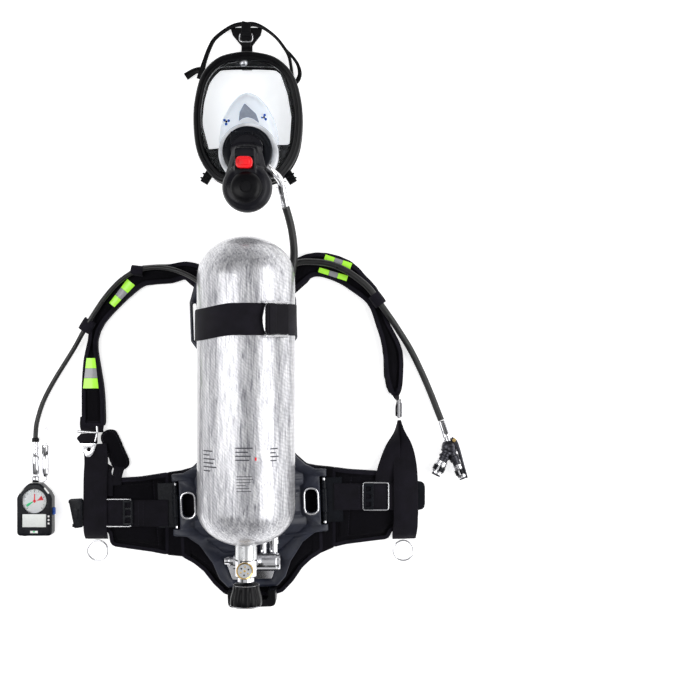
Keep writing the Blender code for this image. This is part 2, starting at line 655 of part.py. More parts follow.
def make_mask():
    wall = [(1, MASK_RIM_Z - 8), (4, 34), (1, 31), (-1, 29.5), (6, 31.5), (22, 34), (22, 36), (8, 34.5),
            (7, 36), (4, MASK_RIM_Z - 8)]
    seal = loft("face_seal", [on_mask(mask_outline(inset), z) for inset, z in wall], RUBBER, ring=True)
    for side in (-1, 1):
        lug = [(MASK_X + side * 56, 438, 17), (MASK_X + side * 66, 427, 15), (MASK_X + side * 76, 411, 14)]
        combine(seal, "UNION", plate("lug", [strap_outline(lug, 2)], 20, 27, RUBBER, 1))

    rim = [(0, MASK_RIM_Z + 6), (-1.5, MASK_RIM_Z + 3), (-1.5, MASK_RIM_Z - 5), (0, MASK_RIM_Z - 7.6),
           (9, MASK_RIM_Z - 7.6), (9, MASK_RIM_Z - 1), (12, MASK_RIM_Z - 1), (12, MASK_RIM_Z + 6)]
    loft("visor_frame", [on_mask(mask_outline(inset), z) for inset, z in rim], RUBBER, ring=True)

    visor_sections = []
    for upper in (True, False):
        levels = [0, 14, 34, 58, 82]
        for inset in levels if upper else levels[::-1]:
            share = inset / 90
            lift = VISOR_RISE * (1 - (1 - share) ** 2)
            wall = VISOR_WALL if upper else 0
            outline = mask_outline(12.6 + inset * 0.86)
            visor_sections.append(on_mask(outline, MASK_RIM_Z + 1 + lift + wall))
    visor = loft("visor", visor_sections, CLEAR, ring=True)
    plug = on_mask(mask_outline(12.6 + 81 * 0.86), MASK_RIM_Z + 1 + VISOR_RISE)
    crown = loft("visor_middle", [plug, [(x, y, z + VISOR_WALL) for x, y, z in plug]], CLEAR)
    hole = rod("port_hole", 36.6, (PORT_X, PORT_Y, 20), (PORT_X, PORT_Y, 130), RUBBER, 32)
    combine(visor, "UNION", crown)
    combine(visor, "DIFFERENCE", hole)

    port = [(27.4, 104), (40, 104), (41, 102), (41, 92), (36, 90), (36, 60), (30, 57.5), (27.4, 57.5)]
    turned("port_housing", port, BLACK_PLASTIC, (PORT_X, PORT_Y, 0), (0, 0, 1), 32, closed=True)

    def cup_ring(scale, z):
        shape = smooth([(0, -26), (30, -22), (47, 8), (45, 44), (32, 78), (0, 99)], 2)
        ring = shape + [(-x, y) for x, y in reversed(shape) if x > 0.01]
        return [(PORT_X + x * scale, PORT_Y + 6 + y * scale, z) for x, y in ring]

    cup = [cup_ring(0.84, 56), cup_ring(0.92, 48), cup_ring(1.0, 30), cup_ring(1.03, 20),
           cup_ring(0.98, 19), cup_ring(0.95, 30), cup_ring(0.87, 46), cup_ring(0.80, 53)]
    loft("inner_cup", cup, CUP_RUBBER, ring=True)

    arch = [(-91, 590, 13), (-87, 607, 12), (-77, 628, 11), (-62, 657, 11), (-38, 676, 11), (-10, 668, 20),
            (18, 675, 11), (44, 659, 11), (58, 644, 11), (69, 621, 11), (79, 602, 12), (83, 587, 13)]
    harness = plate("head_harness", [strap_outline(arch, 2)], 3, 23, RUBBER, 0.8)
    web = rounded([(-38, 680), (19, 680), (15, 664), (1, 646), (1, 606), (-18, 606), (-18, 646),
                   (-33, 664)], 2)
    loop = [(64, 629, 5), (74, 619, 5), (81, 602, 6), (78, 589, 6)]
    end = [(-84, 606, 10), (-98, 604, 11), (-114, 594, 13)]
    tools = [plate("web", [web], 0.6, 4.2, RUBBER, 0.3),
             plate("loop", [strap_outline(loop, 2)], 3, 12, RUBBER, 0.3),
             plate("end", [strap_outline(end, 2)], 3, 9, RUBBER, 0.3)]
    tail = box("tail", (16, 24, 6), RUBBER, (-10, 676, 12), 1)
    combine(harness, "UNION", *tools, tail)


def make_demand_valve():
    bulb = [(0, 138), (34, 138), (39, 134), (41, 126), (41, 112), (36, 106), (0, 106)]
    body = turned("demand_valve_body", bulb, BLACK_PLASTIC, (BULB_X, BULB_Y, 0), (0, 0, 1), 32)
    throat = rounded([(-31, 400), (33, 400), (30, 470), (-28, 470)], 16)
    neck = plate("neck", [throat], 106, 137, BLACK_PLASTIC, 2)
    plug = rod("plug", 26.6, (PORT_X, PORT_Y, 76), (PORT_X, PORT_Y, 112), BLACK_PLASTIC, 28)
    boss = rod("side_boss", 9, (41, 414, 101), (41, 414, 118), BLACK_PLASTIC, 16)
    combine(body, "UNION", neck, plug, boss)
    pocket = box("pocket", (29, 21, 10), BLACK_PLASTIC, (-1, 427, 138), 0)
    combine(body, "DIFFERENCE", pocket)
    box("bypass_button", (27, 19, 13), RED, (-1, 427, 142.2), 2.5, 2)
    cover = [(0, 9), (14, 8.5), (22, 6), (25, 2.5), (25, 0), (0, 0)]
    turned("demand_valve_cover", cover, RUBBER, (BULB_X, BULB_Y - 2, 138 + GAP), (0, 0, 1), 28)
    elbow = rod("elbow", 8.2, (41, 415, 91.4), (56, 401, 85), CHROME, 18, 1.2)
    start, end = Vector((54, 403, 85.4)), Vector((61, 366, 71.5))
    length = (end - start).length
    profile = [(0, length), (7.2, length), (8.4, length - 1), (8.4, 12), (9.2, 11), (9.2, 1),
               (8.4, 0), (0, 0)]
    swivel = turned("hose_swivel", profile, CHROME, start, end - start, 18)
    combine(swivel, "UNION", elbow)


# ---------------------------------------------------------------- console and coupling


def make_console():
    left, right = CONSOLE_X - 29.5, CONSOLE_X + 29.5
    outline = [(left, -187), (right, -187), (right, -128), (right - 8, -106), (right - 20, -98),
               (left + 20, -98), (left + 8, -106), (left, -128)]
    radii = [7, 7, 8, 10, 4, 4, 10, 8]
    case = plate("console_case", [rounded(outline, radii)], 0, 26, BLACK_PLASTIC, 2)
    well = rod("dial_well", 20.6, (CONSOLE_X, DIAL_Y, 20), (CONSOLE_X, DIAL_Y, 40), BLACK_PLASTIC, 28, 0.1)
    window = box("window", (41, 23, 4), BLACK_PLASTIC, (CONSOLE_X, -161, 26), 0)
    recess = box("recess", (10, 13, 9), BLACK_PLASTIC, (CONSOLE_X + 29.5, -146, 13), 0)
    combine(case, "DIFFERENCE", well, window, recess)
    rod("gauge_dial", 20, (CONSOLE_X, DIAL_Y, 20.3), (CONSOLE_X, DIAL_Y, 21.6), WHITE, 28, 0.2)
    needle = box("gauge_needle", (1.6, 15, 0.8), RED, (CONSOLE_X, DIAL_Y + 4.5, 22.6), 0)
    hub = rod("hub", 2.4, (CONSOLE_X, DIAL_Y, 22), (CONSOLE_X, DIAL_Y, 23.2), RED, 12, 0.2)
    combine(needle, "UNION", hub)
    rod("gauge_lens", 20.2, (CONSOLE_X, DIAL_Y, 24), (CONSOLE_X, DIAL_Y, 26.2), CLEAR, 28, 0.5)
    box("console_button", (5, 12, 8), BLUE, (CONSOLE_X + 30.6, -146, 13), 1.0, 1)
    neck = [(0, 70), (4.6, 70), (5.6, 69), (5.6, 48), (6.6, 47), (6.6, 38), (5.4, 37), (5.4, 33), (7, 32),
            (7, 6), (9, 5), (9, 0.6), (8.4, 0), (0, 0)]
    turned("console_fitting", neck, CHROME, (CONSOLE_X - 1, -97.4, 12.4), (0, 1, 0), 18)
    rod("alarm_whistle", 6.2, (CONSOLE_X + 15, -88, 7), (CONSOLE_X + 15, -34, 7), CHROME, 16, 1.2)


def make_coupling():
    """The second user's Y-shaped quick coupling, with a sliding collar on each socket."""
    hub = Vector((337, -37, COUPLING_Z))
    rear = Vector((336, -30, COUPLING_Z))
    tip = Vector((323.4, 7.6, 10.5))
    length = (rear - tip).length
    profile = [(0, length), (8.2, length), (8.2, length - 14), (7.4, length - 15), (7.4, 1),
               (6.4, 0), (0, 0)]
    ferrule = turned("ferrule", profile, CHROME, tip, rear - tip, 16)
    ball = [(0, 12), (6, 11), (10.5, 7), (12.4, 0), (10.5, -7), (6, -11), (0, -12)]
    body = turned("coupling_body", ball, STEEL, hub, (0, 0, 1), 18)
    combine(body, "UNION", ferrule)
    for name, end, radius in (("left", (313, -86), 10.4), ("right", (361, -92), 9.2)):
        far = Vector((*end, COUPLING_Z))
        along = (far - hub).normalized()
        reach = (far - hub).length
        stem = rod("stem", radius - 2.6, hub, hub + along * (reach - 3), STEEL, 16)
        collar = rod("shoulder", radius - 0.6, hub, hub + along * (reach - 34), STEEL, 16)
        combine(body, "UNION", stem, collar)
        span = 24
        wall = [(radius - 2.2, span), (radius - 0.8, span), (radius, span - 1), (radius, 9),
                (radius - 0.8, 8), (radius - 0.8, 5), (radius, 4), (radius, 1), (radius - 0.8, 0),
                (radius - 2.2, 0)]
        start = hub + along * (reach - 28)
        turned(f"coupling_collar_{name}", wall, STEEL, start, along, 14, closed=True)
    mouth_ends = [rod("mouth", 4.6, (313, -86, COUPLING_Z), (321, -70, COUPLING_Z), STEEL, 12),
                  rod("mouth", 4.0, (361, -92, COUPLING_Z), (353.4, -74, COUPLING_Z), STEEL, 12)]
    combine(body, "DIFFERENCE", *mouth_ends)


# ---------------------------------------------------------------- hoses

GAUGE_ROUTE = [
    (GAUGE_OUTLET_X, FERRULE_END + GAP, 47), (GAUGE_OUTLET_X, -167, 46.6), (-16, -157, 44.2),
    (-20, -148, 40.8), (-27, -136, 37.8), (-42, -112, 35.5), (-50, -84, 34), (-52, -40, 34),
    (-52, 30, 34), (-52, 100, 34), (-53, 160, 34), (-57, 195, 34), (-69, 222, 34), (-88, 243, 34),
    (-112, 257, 30), (-140, 266, 25.5), (-168, 267.5, 24), (-196, 261, 24), (-221, 246, 24),
    (-246, 219, 24), (-268, 187, 23), (-286, 158, 18), (-304, 128, 12), (-338, 75, 7), (-357, 38, 6.5),
    (-366.5, 5, 9), (CONSOLE_X - 1, -15, 11.8), (CONSOLE_X - 1, -27, 12.4),
]
MASK_ROUTE = [
    (MASK_OUTLET_X, FERRULE_END + GAP, 47), (MASK_OUTLET_X, -167, 46.7), (42.5, -152, 44.5),
    (48.5, -134, 41), (57, -106, 37.5), (60, -75, 36), (60, -20, 36), (60, 60, 36), (60, 130, 36),
    (60, 180, 36),
    (62, 212, 38), (66.5, 240, 43), (71.5, 264, 47.5), (74, 285, 49.5), (73.5, 305, 51.5),
    (70.5, 328, 56), (66, 348, 63.5), (61.3, 364.2, 70.8),
]
BUDDY_ROUTE = [
    (BUDDY_OUTLET_X, FERRULE_END + GAP, 47), (BUDDY_OUTLET_X, -167, 46.6), (24.5, -158, 43.6),
    (27, -148, 40.6), (31, -136, 37.8), (39, -112, 36), (44, -84, 35), (44.5, -20, 35),
    (44.5, 60, 35), (44.5, 130, 35), (44.5, 180, 35), (44.5, 215, 34.5), (49, 242, 34), (61, 263, 33),
    (80, 275, 31), (104, 277, 28), (132, 274, 26),
    (158, 264, 25.5), (181, 249, 25), (202, 230, 24.5), (220, 205, 23), (232, 188, 22),
    (246, 168, 17), (270, 130, 9), (289, 92, 7), (305, 55, 7), (317, 24, 9), (323.3, 8, 10.4),
]


frame = plate_frame()
make_cylinder()
make_valve()
make_reducer()
make_band()
make_back_plate(frame)
make_padding(frame)
make_hips(frame)
make_straps()
make_mask()
make_demand_valve()
make_console()
make_coupling()
hose("gauge_hose", GAUGE_ROUTE, GAUGE_HOSE_D)
hose("mask_hose", MASK_ROUTE, MASK_HOSE_D)
hose("buddy_hose", BUDDY_ROUTE, BUDDY_HOSE_D)
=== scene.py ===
"""Looks of a firefighter's breathing set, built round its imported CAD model.

Lengths are millimetres until a point is made: mm() turns them into the frame's metres.
Order: helpers, camera and light, materials, hoses, then each group of pieces.
"""

import json
import math

import bmesh
import bpy
from mathutils import Matrix, Vector
from mathutils.bvhtree import BVHTree


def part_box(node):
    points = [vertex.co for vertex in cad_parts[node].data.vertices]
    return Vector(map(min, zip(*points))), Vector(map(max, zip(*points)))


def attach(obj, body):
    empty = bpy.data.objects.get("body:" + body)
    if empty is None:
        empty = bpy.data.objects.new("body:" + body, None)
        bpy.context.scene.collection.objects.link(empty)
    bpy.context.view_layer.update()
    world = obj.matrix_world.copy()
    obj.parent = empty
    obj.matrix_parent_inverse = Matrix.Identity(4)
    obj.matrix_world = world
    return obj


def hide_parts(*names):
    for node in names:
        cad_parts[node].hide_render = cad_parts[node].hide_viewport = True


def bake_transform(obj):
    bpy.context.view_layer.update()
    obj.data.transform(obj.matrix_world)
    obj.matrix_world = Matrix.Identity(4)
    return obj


MM = 0.001
UP = Vector((0, 0, 1))

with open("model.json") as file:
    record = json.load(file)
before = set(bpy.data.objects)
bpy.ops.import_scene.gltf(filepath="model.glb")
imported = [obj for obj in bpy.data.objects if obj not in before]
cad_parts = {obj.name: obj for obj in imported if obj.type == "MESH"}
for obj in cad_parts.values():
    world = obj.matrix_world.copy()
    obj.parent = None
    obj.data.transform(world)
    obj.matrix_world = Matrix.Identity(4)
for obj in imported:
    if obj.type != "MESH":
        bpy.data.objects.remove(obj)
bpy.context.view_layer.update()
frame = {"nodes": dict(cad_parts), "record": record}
NODES = frame["nodes"]
SCENE = bpy.context.scene

# Places that the CAD model fixes
CYLINDER_R, CYLINDER_Z = 79.0, 117.0
PLATE_TWIST = math.radians(2.0)
PLATE_PIVOT = Vector((0, -180, 0))
PLATE_TOP = 28.0
PAD_TOP = 15.9
CLOTH_PRESSURE, CLOTH_FRAMES, CLOTH_CAP = 4.0, 20, 5.0
BARREL_Y, BARREL_PITCH, BARREL_LONG = -184, 18.2, 14.5
CHANNEL_DEEP, CHANNEL_HALF, RIDGE_HALF = 2.4, 3.2, 3.4
TAPE_Z = 16.4
MASK_X, MASK_Y, MASK_RIM_Z, MASK_DROP = -4.0, 511.0, 60.0, 24.0
PORT_X, PORT_Y = 0.6, 452.0
BULB_X, BULB_Y = 2.0, 390.0
CONSOLE_X, DIAL_Y = -367.0, -128.0
COUPLING_HUB = Vector((337, -37, 13.4))


# ---- points and outlines


def mm(*point):
    """A point, or a Vector, in millimetres turned into metres."""
    return (point[0] if len(point) == 1 else Vector(point)) * MM


def on_plate(x, y, z=0.0):
    """A place on the back plate, which lies two degrees askew, in millimetres."""
    return Matrix.Rotation(PLATE_TWIST, 3, "Z") @ (Vector((x, y, z)) - PLATE_PIVOT) + PLATE_PIVOT


def smooth(points, per_span):
    """Points on a Catmull-Rom curve through the given points; each may have any number of values."""
    found = []
    last = len(points) - 1
    for i in range(last):
        four = [points[max(i - 1, 0)], points[i], points[i + 1], points[min(i + 2, last)]]
        for k in range(per_span):
            t = k / per_span
            found.append(tuple(0.5 * (2 * q + (r - p) * t + (2 * p - 5 * q + 4 * r - s) * t * t + (3 * q - p
                - 3 * r + s) * t ** 3) for p, q, r, s in zip(*four)))
    return found + [tuple(points[-1])]


def evenly(points, spacing, closed=False):
    """The same path with its points about one spacing apart."""
    path = [Vector(p) for p in points]
    if closed:
        path.append(path[0].copy())
    total = sum((b - a).length for a, b in zip(path, path[1:]))
    steps = max(3, round(total / spacing))
    found = [path[0]]
    done = 0.0
    for a, b in zip(path, path[1:]):
        span = (b - a).length
        while len(found) < steps and done + span >= total * len(found) / steps - 1e-9 and span > 0:
            found.append(a.lerp(b, (total * len(found) / steps - done) / span))
        done += span
    return found if closed else found + [path[-1]]


def rounded(corners, radius, steps=4):
    """The closed outline with each corner turned into an arc."""
    outline = []
    for i, corner in enumerate(corners):
        here = Vector(corner)
        back = Vector(corners[i - 1]) - here
        ahead = Vector(corners[(i + 1) % len(corners)]) - here
        setback = min(radius / math.tan(back.angle(ahead) / 2), back.length * 0.49, ahead.length * 0.49)
        start = here + back.normalized() * setback
        end = here + ahead.normalized() * setback
        outline += [start.lerp(here, k / steps).lerp(here.lerp(end, k / steps),
            k / steps) for k in range(steps + 1)]
    return outline


def rectangle(x, y, width, height):
    w, h = width / 2, height / 2
    return [(x - w, y - h), (x + w, y - h), (x + w, y + h), (x - w, y + h)]


def circle(x, y, radius, steps):
    return [(x + radius * math.cos(t),
        y + radius * math.sin(t)) for t in (math.tau * k / steps for k in range(steps))]


# ---- making objects


def new_object(name, data, mat, body="root", replaces=()):
    """Links a piece, gives it its material and rides it on a CAD body."""
    made = bpy.data.objects.new(name, data)
    SCENE.collection.objects.link(made)
    data.materials.clear()
    data.materials.append(mat)
    if body:
        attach(made, body)
    if replaces:
        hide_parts(*replaces)
    return made


def place(name, mesh, slot, body="root", node=None):
    """A piece in its slot's own material, which may stand for a CAD node."""
    return new_object(name, mesh, M[slot], body, (node,) if node else ())


def to_mesh(bm, angle=40):
    bmesh.ops.remove_doubles(bm, verts=bm.verts, dist=1e-7)
    bmesh.ops.recalc_face_normals(bm, faces=bm.faces)
    mesh = bpy.data.meshes.new("piece")
    bm.to_mesh(mesh)
    bm.free()
    mesh.shade_smooth()
    mesh.set_sharp_from_angle(angle=math.radians(angle))
    return mesh


def skin(sections, ring=False, angle=40):
    """A mesh over closed sections of equal point counts, in millimetres, with a map in metres:
    u runs round each section and v along the piece."""
    bm = bmesh.new()
    layer = bm.loops.layers.uv.new("Length")
    rows = [[bm.verts.new(mm(Vector(p))) for p in section] for section in sections]
    count = len(rows[0])
    around = [0.0]
    for i in range(count):
        around.append(around[-1] + (rows[0][(i + 1) % count].co - rows[0][i].co).length)
    along = [0.0]
    for first, second in zip(rows, rows[1:] + rows[:1]):
        along.append(along[-1] + (second[0].co - first[0].co).length)
    for k in range(len(rows) if ring else len(rows) - 1):
        first, second = rows[k], rows[(k + 1) % len(rows)]
        for i in range(count):
            j = (i + 1) % count
            face = bm.faces.new((first[i], first[j], second[j], second[i]))
            corners = ((i, k), (i + 1, k), (i + 1, k + 1), (i, k + 1))
            for loop, (u, v) in zip(face.loops, corners):
                loop[layer].uv = (around[u], along[v])
    if not ring:
        bm.faces.new(rows[0][::-1])
        bm.faces.new(rows[-1])
    return to_mesh(bm, angle)


def frames_along(path, closed=False):
    """(point, along, side, face) at each point: side is level, and face is square to both."""
    found = []
    count = len(path)
    side = None
    for i, here in enumerate(path):
        before = path[i - 1] if i or closed else path[0]
        after = path[(i + 1) % count] if i < count - 1 or closed else path[-1]
        along = (after - before).normalized()
        level = along.cross(UP)
        if level.length > 0.05:
            side = level.normalized()
        side = side or Vector((1, 0, 0))
        side = (side - along * side.dot(along)).normalized()
        found.append((here, along, side, side.cross(along)))
    return found


def tube(points, radius, sides=14, closed=False):
    """A tube on a path in millimetres."""
    path = [Vector(p) for p in points]
    sections = []
    for here, _, side, face in frames_along(path, closed):
        turns = (math.tau * k / sides for k in range(sides))
        sections.append([here
            + side * (radius * math.cos(t)) + face * (radius * math.sin(t)) for t in turns])
    return skin(sections, ring=closed)


def ribbon(stations, thick, per_span=6, crown=0.25):
    """Webbing: stations give a point, a width and a turn in degrees; its edges are rounded."""
    path = smooth(stations, per_span)
    spots = [Vector(p[:3]) for p in path]
    sections = []
    for (here, along, side, _), (*_, width, turn) in zip(frames_along(spots), path):
        wide = Matrix.Rotation(math.radians(turn), 3, along) @ side
        face = wide.cross(along)
        half, h = width / 2, thick / 2
        edge = h * 0.9
        across = [(-half, 0), (-half + edge * 0.3, h * 0.7), (-half + edge, h), (0, h * (1 + crown)),
            (half - edge, h), (half - edge * 0.3, h * 0.7), (half, 0), (half - edge * 0.3, -h * 0.7),
            (half - edge, -h), (0, -h), (-half + edge, -h), (-half + edge * 0.3, -h * 0.7)]
        sections.append([here + wide * a + face * b for a, b in across])
    return skin(sections, angle=60)


def turned(profile, at, along=(0, 0, 1), steps=48, angle=35):
    """A closed body of revolution; the profile holds radius and height in millimetres."""
    turn = UP.rotation_difference(Vector(along)).to_matrix()
    bm = bmesh.new()
    rows = []
    for radius, height in profile:
        turns = (math.tau * k / steps for k in range(steps))
        rows.append([bm.verts.new(mm(turn @ Vector((radius * math.cos(t), radius * math.sin(t),
            height)) + Vector(at))) for t in turns])
    for first, second in zip(rows, rows[1:] + rows[:1]):
        for i in range(steps):
            j = (i + 1) % steps
            bm.faces.new((first[i], first[j], second[j], second[i]))
    bmesh.ops.remove_doubles(bm, verts=bm.verts, dist=1e-7)
    bmesh.ops.dissolve_degenerate(bm, edges=bm.edges, dist=1e-7)
    return to_mesh(bm, angle)


def rod(radius, start, end, steps=20, chamfer=0.5):
    start, end = Vector(start), Vector(end)
    length = (end - start).length
    profile = [(0, length), (radius - chamfer, length), (radius, length - chamfer), (radius, chamfer),
        (radius - chamfer, 0), (0, 0)]
    return turned(profile, start, end - start, steps)


def slab(outlines, low, high, edge=0.6, segments=2):
    """A flat piece with rounded edges: the first outline is its edge and the others are holes."""
    curve = bpy.data.curves.new("outline", "CURVE")
    curve.dimensions = "2D"
    curve.fill_mode = "BOTH"
    curve.extrude = ((high - low) / 2 - edge) * MM
    curve.bevel_depth = edge * MM
    curve.bevel_resolution = segments
    curve.offset = -edge * MM
    for outline in outlines:
        spline = curve.splines.new("POLY")
        spline.points.add(len(outline) - 1)
        spline.use_cyclic_u = True
        for point, (x, y) in zip(spline.points, outline):
            point.co = (x * MM, y * MM, 0, 1)
    holder = bpy.data.objects.new("outline", curve)
    SCENE.collection.objects.link(holder)
    mesh = evaluated_mesh(holder)
    bpy.data.objects.remove(holder)
    mesh.transform(Matrix.Translation((0, 0, (low + high) / 2 * MM)))
    bm = bmesh.new()
    bm.from_mesh(mesh)
    return to_mesh(bm, 30)


def evaluated_mesh(obj):
    bpy.context.view_layer.update()
    graph = bpy.context.evaluated_depsgraph_get()
    return bpy.data.meshes.new_from_object(obj.evaluated_get(graph))


def block(size, at, bevel=1.0):
    """A moulded block with rounded edges."""
    bm = bmesh.new()
    bmesh.ops.create_cube(bm, size=1.0)
    bmesh.ops.scale(bm, verts=bm.verts, vec=Vector(size) * MM)
    bmesh.ops.bevel(bm, geom=bm.edges[:], offset=bevel * MM, segments=3, affect="EDGES", profile=0.6)
    bm.transform(Matrix.Translation(mm(*at)))
    return to_mesh(bm, 50)


def joined(meshes):
    """Several meshes as one."""
    bm = bmesh.new()
    for mesh in meshes:
        bm.from_mesh(mesh)
        bpy.data.meshes.remove(mesh)
    made = bpy.data.meshes.new("joined")
    bm.to_mesh(made)
    bm.free()
    made.shade_smooth()
    made.set_sharp_from_angle(angle=math.radians(40))
    return made


def modified(mesh, *steps):
    """The mesh after the given modifiers, each a (type, {setting: value}) pair."""
    holder = bpy.data.objects.new("modified", mesh)
    SCENE.collection.objects.link(holder)
    for kind, settings in steps:
        step = holder.modifiers.new(kind, kind)
        for key, value in settings.items():
            setattr(step, key, value)
    made = evaluated_mesh(holder)
    bpy.data.objects.remove(holder)
    made.shade_smooth()
    return made


def cad_mesh(node):
    """A copy of a CAD node's own mesh, welded."""
    bm = bmesh.new()
    bm.from_mesh(NODES[node].data)
    bmesh.ops.remove_doubles(bm, verts=bm.verts, dist=1e-6)
    mesh = bpy.data.meshes.new(node)
    bm.to_mesh(mesh)
    bm.free()
    return mesh


# ---- camera and light


def make_camera():
    data = bpy.data.cameras.new("camera")
    data.lens = 60
    data.sensor_width = 36
    camera = bpy.data.objects.new("camera", data)
    SCENE.collection.objects.link(camera)
    camera.location = mm(167.7, 128, 2000)
    SCENE.camera = camera


def area_light(name, at, size, power, aim=(0, 0.05, 0.05)):
    data = bpy.data.lights.new(name, "AREA")
    data.shape = "RECTANGLE"
    data.size, data.size_y = size
    data.energy = power
    light = bpy.data.objects.new(name, data)
    SCENE.collection.objects.link(light)
    light.location = at
    light.rotation_mode = "QUATERNION"
    light.rotation_quaternion = (Vector(at) - Vector(aim)).to_track_quat("Z", "Y")


def make_studio():
    SCENE.view_settings.view_transform = "Standard"
    world = bpy.data.worlds.new("studio")
    world.use_nodes = True
    nodes, links = world.node_tree.nodes, world.node_tree.links
    spot = nodes.new("ShaderNodeTexCoord")
    split = nodes.new("ShaderNodeSeparateXYZ")
    sky = nodes.new("ShaderNodeValToRGB")
    stops = ((0.0, 0.85), (0.30, 0.80), (0.48, 0.10), (0.80, 0.12), (0.93, 0.70))
    while len(sky.color_ramp.elements) < len(stops):
        sky.color_ramp.elements.new(0.5)
    for element, (place, level) in zip(sky.color_ramp.elements, stops):
        element.position = place
        element.color = (level, level, level * 1.02, 1)
    links.new(spot.outputs["Generated"], split.inputs[0])
    links.new(split.outputs["Z"], sky.inputs["Fac"])
    links.new(sky.outputs["Color"], nodes["Background"].inputs["Color"])
    nodes["Background"].inputs["Strength"].default_value = 0.75
    SCENE.world = world
    area_light("left_softbox", (-1.03, 0.1, 1.45), (0.8, 1.5), 14)
    area_light("right_wall", (1.7, 0.1, 1.5), (2.6, 1.5), 44, aim=(0, 0.1, 1.2))

    floor = bpy.data.meshes.new("floor")
    floor.from_pydata([(-6, -6, 0), (6, -6, 0), (6, 6, 0), (-6, 6, 0)], [], [(0, 1, 2, 3)])
    mat = principled("floor_white", (0.9, 0.9, 0.9), 0.9, **{"Emission Strength": 0.62,
        "Specular IOR Level": 0.1})
    mat.node_tree.nodes["Principled BSDF"].inputs["Emission Color"].default_value = (1, 1, 1, 1)
    ground = bpy.data.objects.new("floor", floor)
    floor.materials.append(mat)
    ground.location.z = -0.0004
    SCENE.collection.objects.link(ground)


# ---- materials


def shade(colour, share):
    return tuple(c * share for c in colour)


def principled(name, colour, roughness, metallic=0.0, **sockets):
    made = bpy.data.materials.new(name)
    made.use_nodes = True
    inputs = made.node_tree.nodes["Principled BSDF"].inputs
    inputs["Base Color"].default_value = (*colour, 1)
    inputs["Roughness"].default_value = roughness
    inputs["Metallic"].default_value = metallic
    for socket, value in sockets.items():
        inputs[socket].default_value = value
    return made


def texture(mat, kind, stretch, source="Object", **settings):
    """The output of a texture on the piece's own coordinates, in repeats a metre."""
    tree = mat.node_tree
    spot = tree.nodes.new("ShaderNodeTexCoord")
    mapping = tree.nodes.new("ShaderNodeMapping")
    mapping.inputs["Scale"].default_value = stretch
    made = tree.nodes.new(f"ShaderNodeTex{kind}")
    for key, value in settings.items():
        if key in made.inputs:
            made.inputs[key].default_value = value
        else:
            setattr(made, key, value)
    if "Scale" in made.inputs and "Scale" not in settings:
        made.inputs["Scale"].default_value = 1.0
    if source == "Length":
        spot = tree.nodes.new("ShaderNodeUVMap")
        spot.uv_map = "Length"
        source = "UV"
    tree.links.new(spot.outputs[source], mapping.inputs["Vector"])
    tree.links.new(mapping.outputs["Vector"], made.inputs["Vector"])
    return made.outputs["Fac"] if "Fac" in made.outputs else made.outputs[0]


def ramp(mat, source, *stops):
    """The source turned into colours, or greys, at the given places."""
    made = mat.node_tree.nodes.new("ShaderNodeValToRGB")
    elements = made.color_ramp.elements
    while len(elements) < len(stops):
        elements.new(0.5)
    for element, (place, value) in zip(elements, stops):
        element.position = place
        colour = value if isinstance(value, tuple) else (value, value, value)
        element.color = (*colour, 1)
    mat.node_tree.links.new(source, made.inputs["Fac"])
    return made.outputs["Color"]


def mixed(mat, first, second, how="MULTIPLY", share=1.0):
    made = mat.node_tree.nodes.new("ShaderNodeMix")
    made.data_type = "RGBA"
    made.blend_type = how
    made.inputs["Factor"].default_value = share
    mat.node_tree.links.new(first, made.inputs["A"])
    mat.node_tree.links.new(second, made.inputs["B"])
    return made.outputs["Result"]


def feed(mat, socket, source):
    mat.node_tree.links.new(source, mat.node_tree.nodes["Principled BSDF"].inputs[socket])


def bump(mat, source, depth, strength=1.0):
    """Raises the surface by up to depth millimetres, on top of what was bumped before."""
    made = mat.node_tree.nodes.new("ShaderNodeBump")
    made.inputs["Distance"].default_value = depth * MM
    made.inputs["Strength"].default_value = strength
    normal = mat.node_tree.nodes["Principled BSDF"].inputs["Normal"]
    if normal.links:
        mat.node_tree.links.new(normal.links[0].from_socket, made.inputs["Normal"])
    mat.node_tree.links.new(source, made.inputs["Height"])
    mat.node_tree.links.new(made.outputs["Normal"], normal)


def composite_material():
    """Filament winding under clear resin: fine wavy tows that run along the cylinder."""
    mat = principled("carbon_glass_wrap", (0.5, 0.5, 0.52), 0.36, 0.55, **{"Coat Weight": 0.9,
        "Coat Roughness": 0.1})
    tows = texture(mat, "Noise", (300, 30, 300), Detail=6.0, Roughness=0.62, Distortion=0.9)
    bands = texture(mat, "Noise", (34, 5, 34), Detail=2.0)
    crossing = texture(mat, "Wave", (95, 95, 20), bands_direction="DIAGONAL", Distortion=7.0, Detail=3.0)
    light = ramp(mat, tows, (0.30, (0.22, 0.22, 0.25)), (0.46, (0.62, 0.62, 0.66)), (0.62, (0.95, 0.95,
        0.97)))
    shade = ramp(mat, bands, (0.30, 0.62), (0.70, 1.0))
    hatch = ramp(mat, crossing, (0.0, 0.80), (1.0, 1.0))
    feed(mat, "Base Color", mixed(mat, mixed(mat, light, shade), hatch))
    feed(mat, "Roughness", ramp(mat, tows, (0.3, 0.30), (0.7, 0.44)))
    bump(mat, tows, 0.25, 0.5)
    return mat


def metal_material(name, colour, roughness, scratch=(40, 2200, 40)):
    """Plated or brushed metal with fine marks along one way."""
    mat = principled(name, colour, roughness, 1.0)
    marks = texture(mat, "Noise", scratch, Detail=5.0, Roughness=0.7)
    smudge = texture(mat, "Noise", (60, 60, 60), Detail=2.0)
    feed(mat, "Roughness", ramp(mat, marks, (0.3, roughness * 0.7), (0.75, roughness * 1.5)))
    tone = ramp(mat, smudge, (0.3, shade(colour, 0.86)), (0.7, colour))
    feed(mat, "Base Color", tone)
    bump(mat, marks, 0.004, 0.2)
    return mat


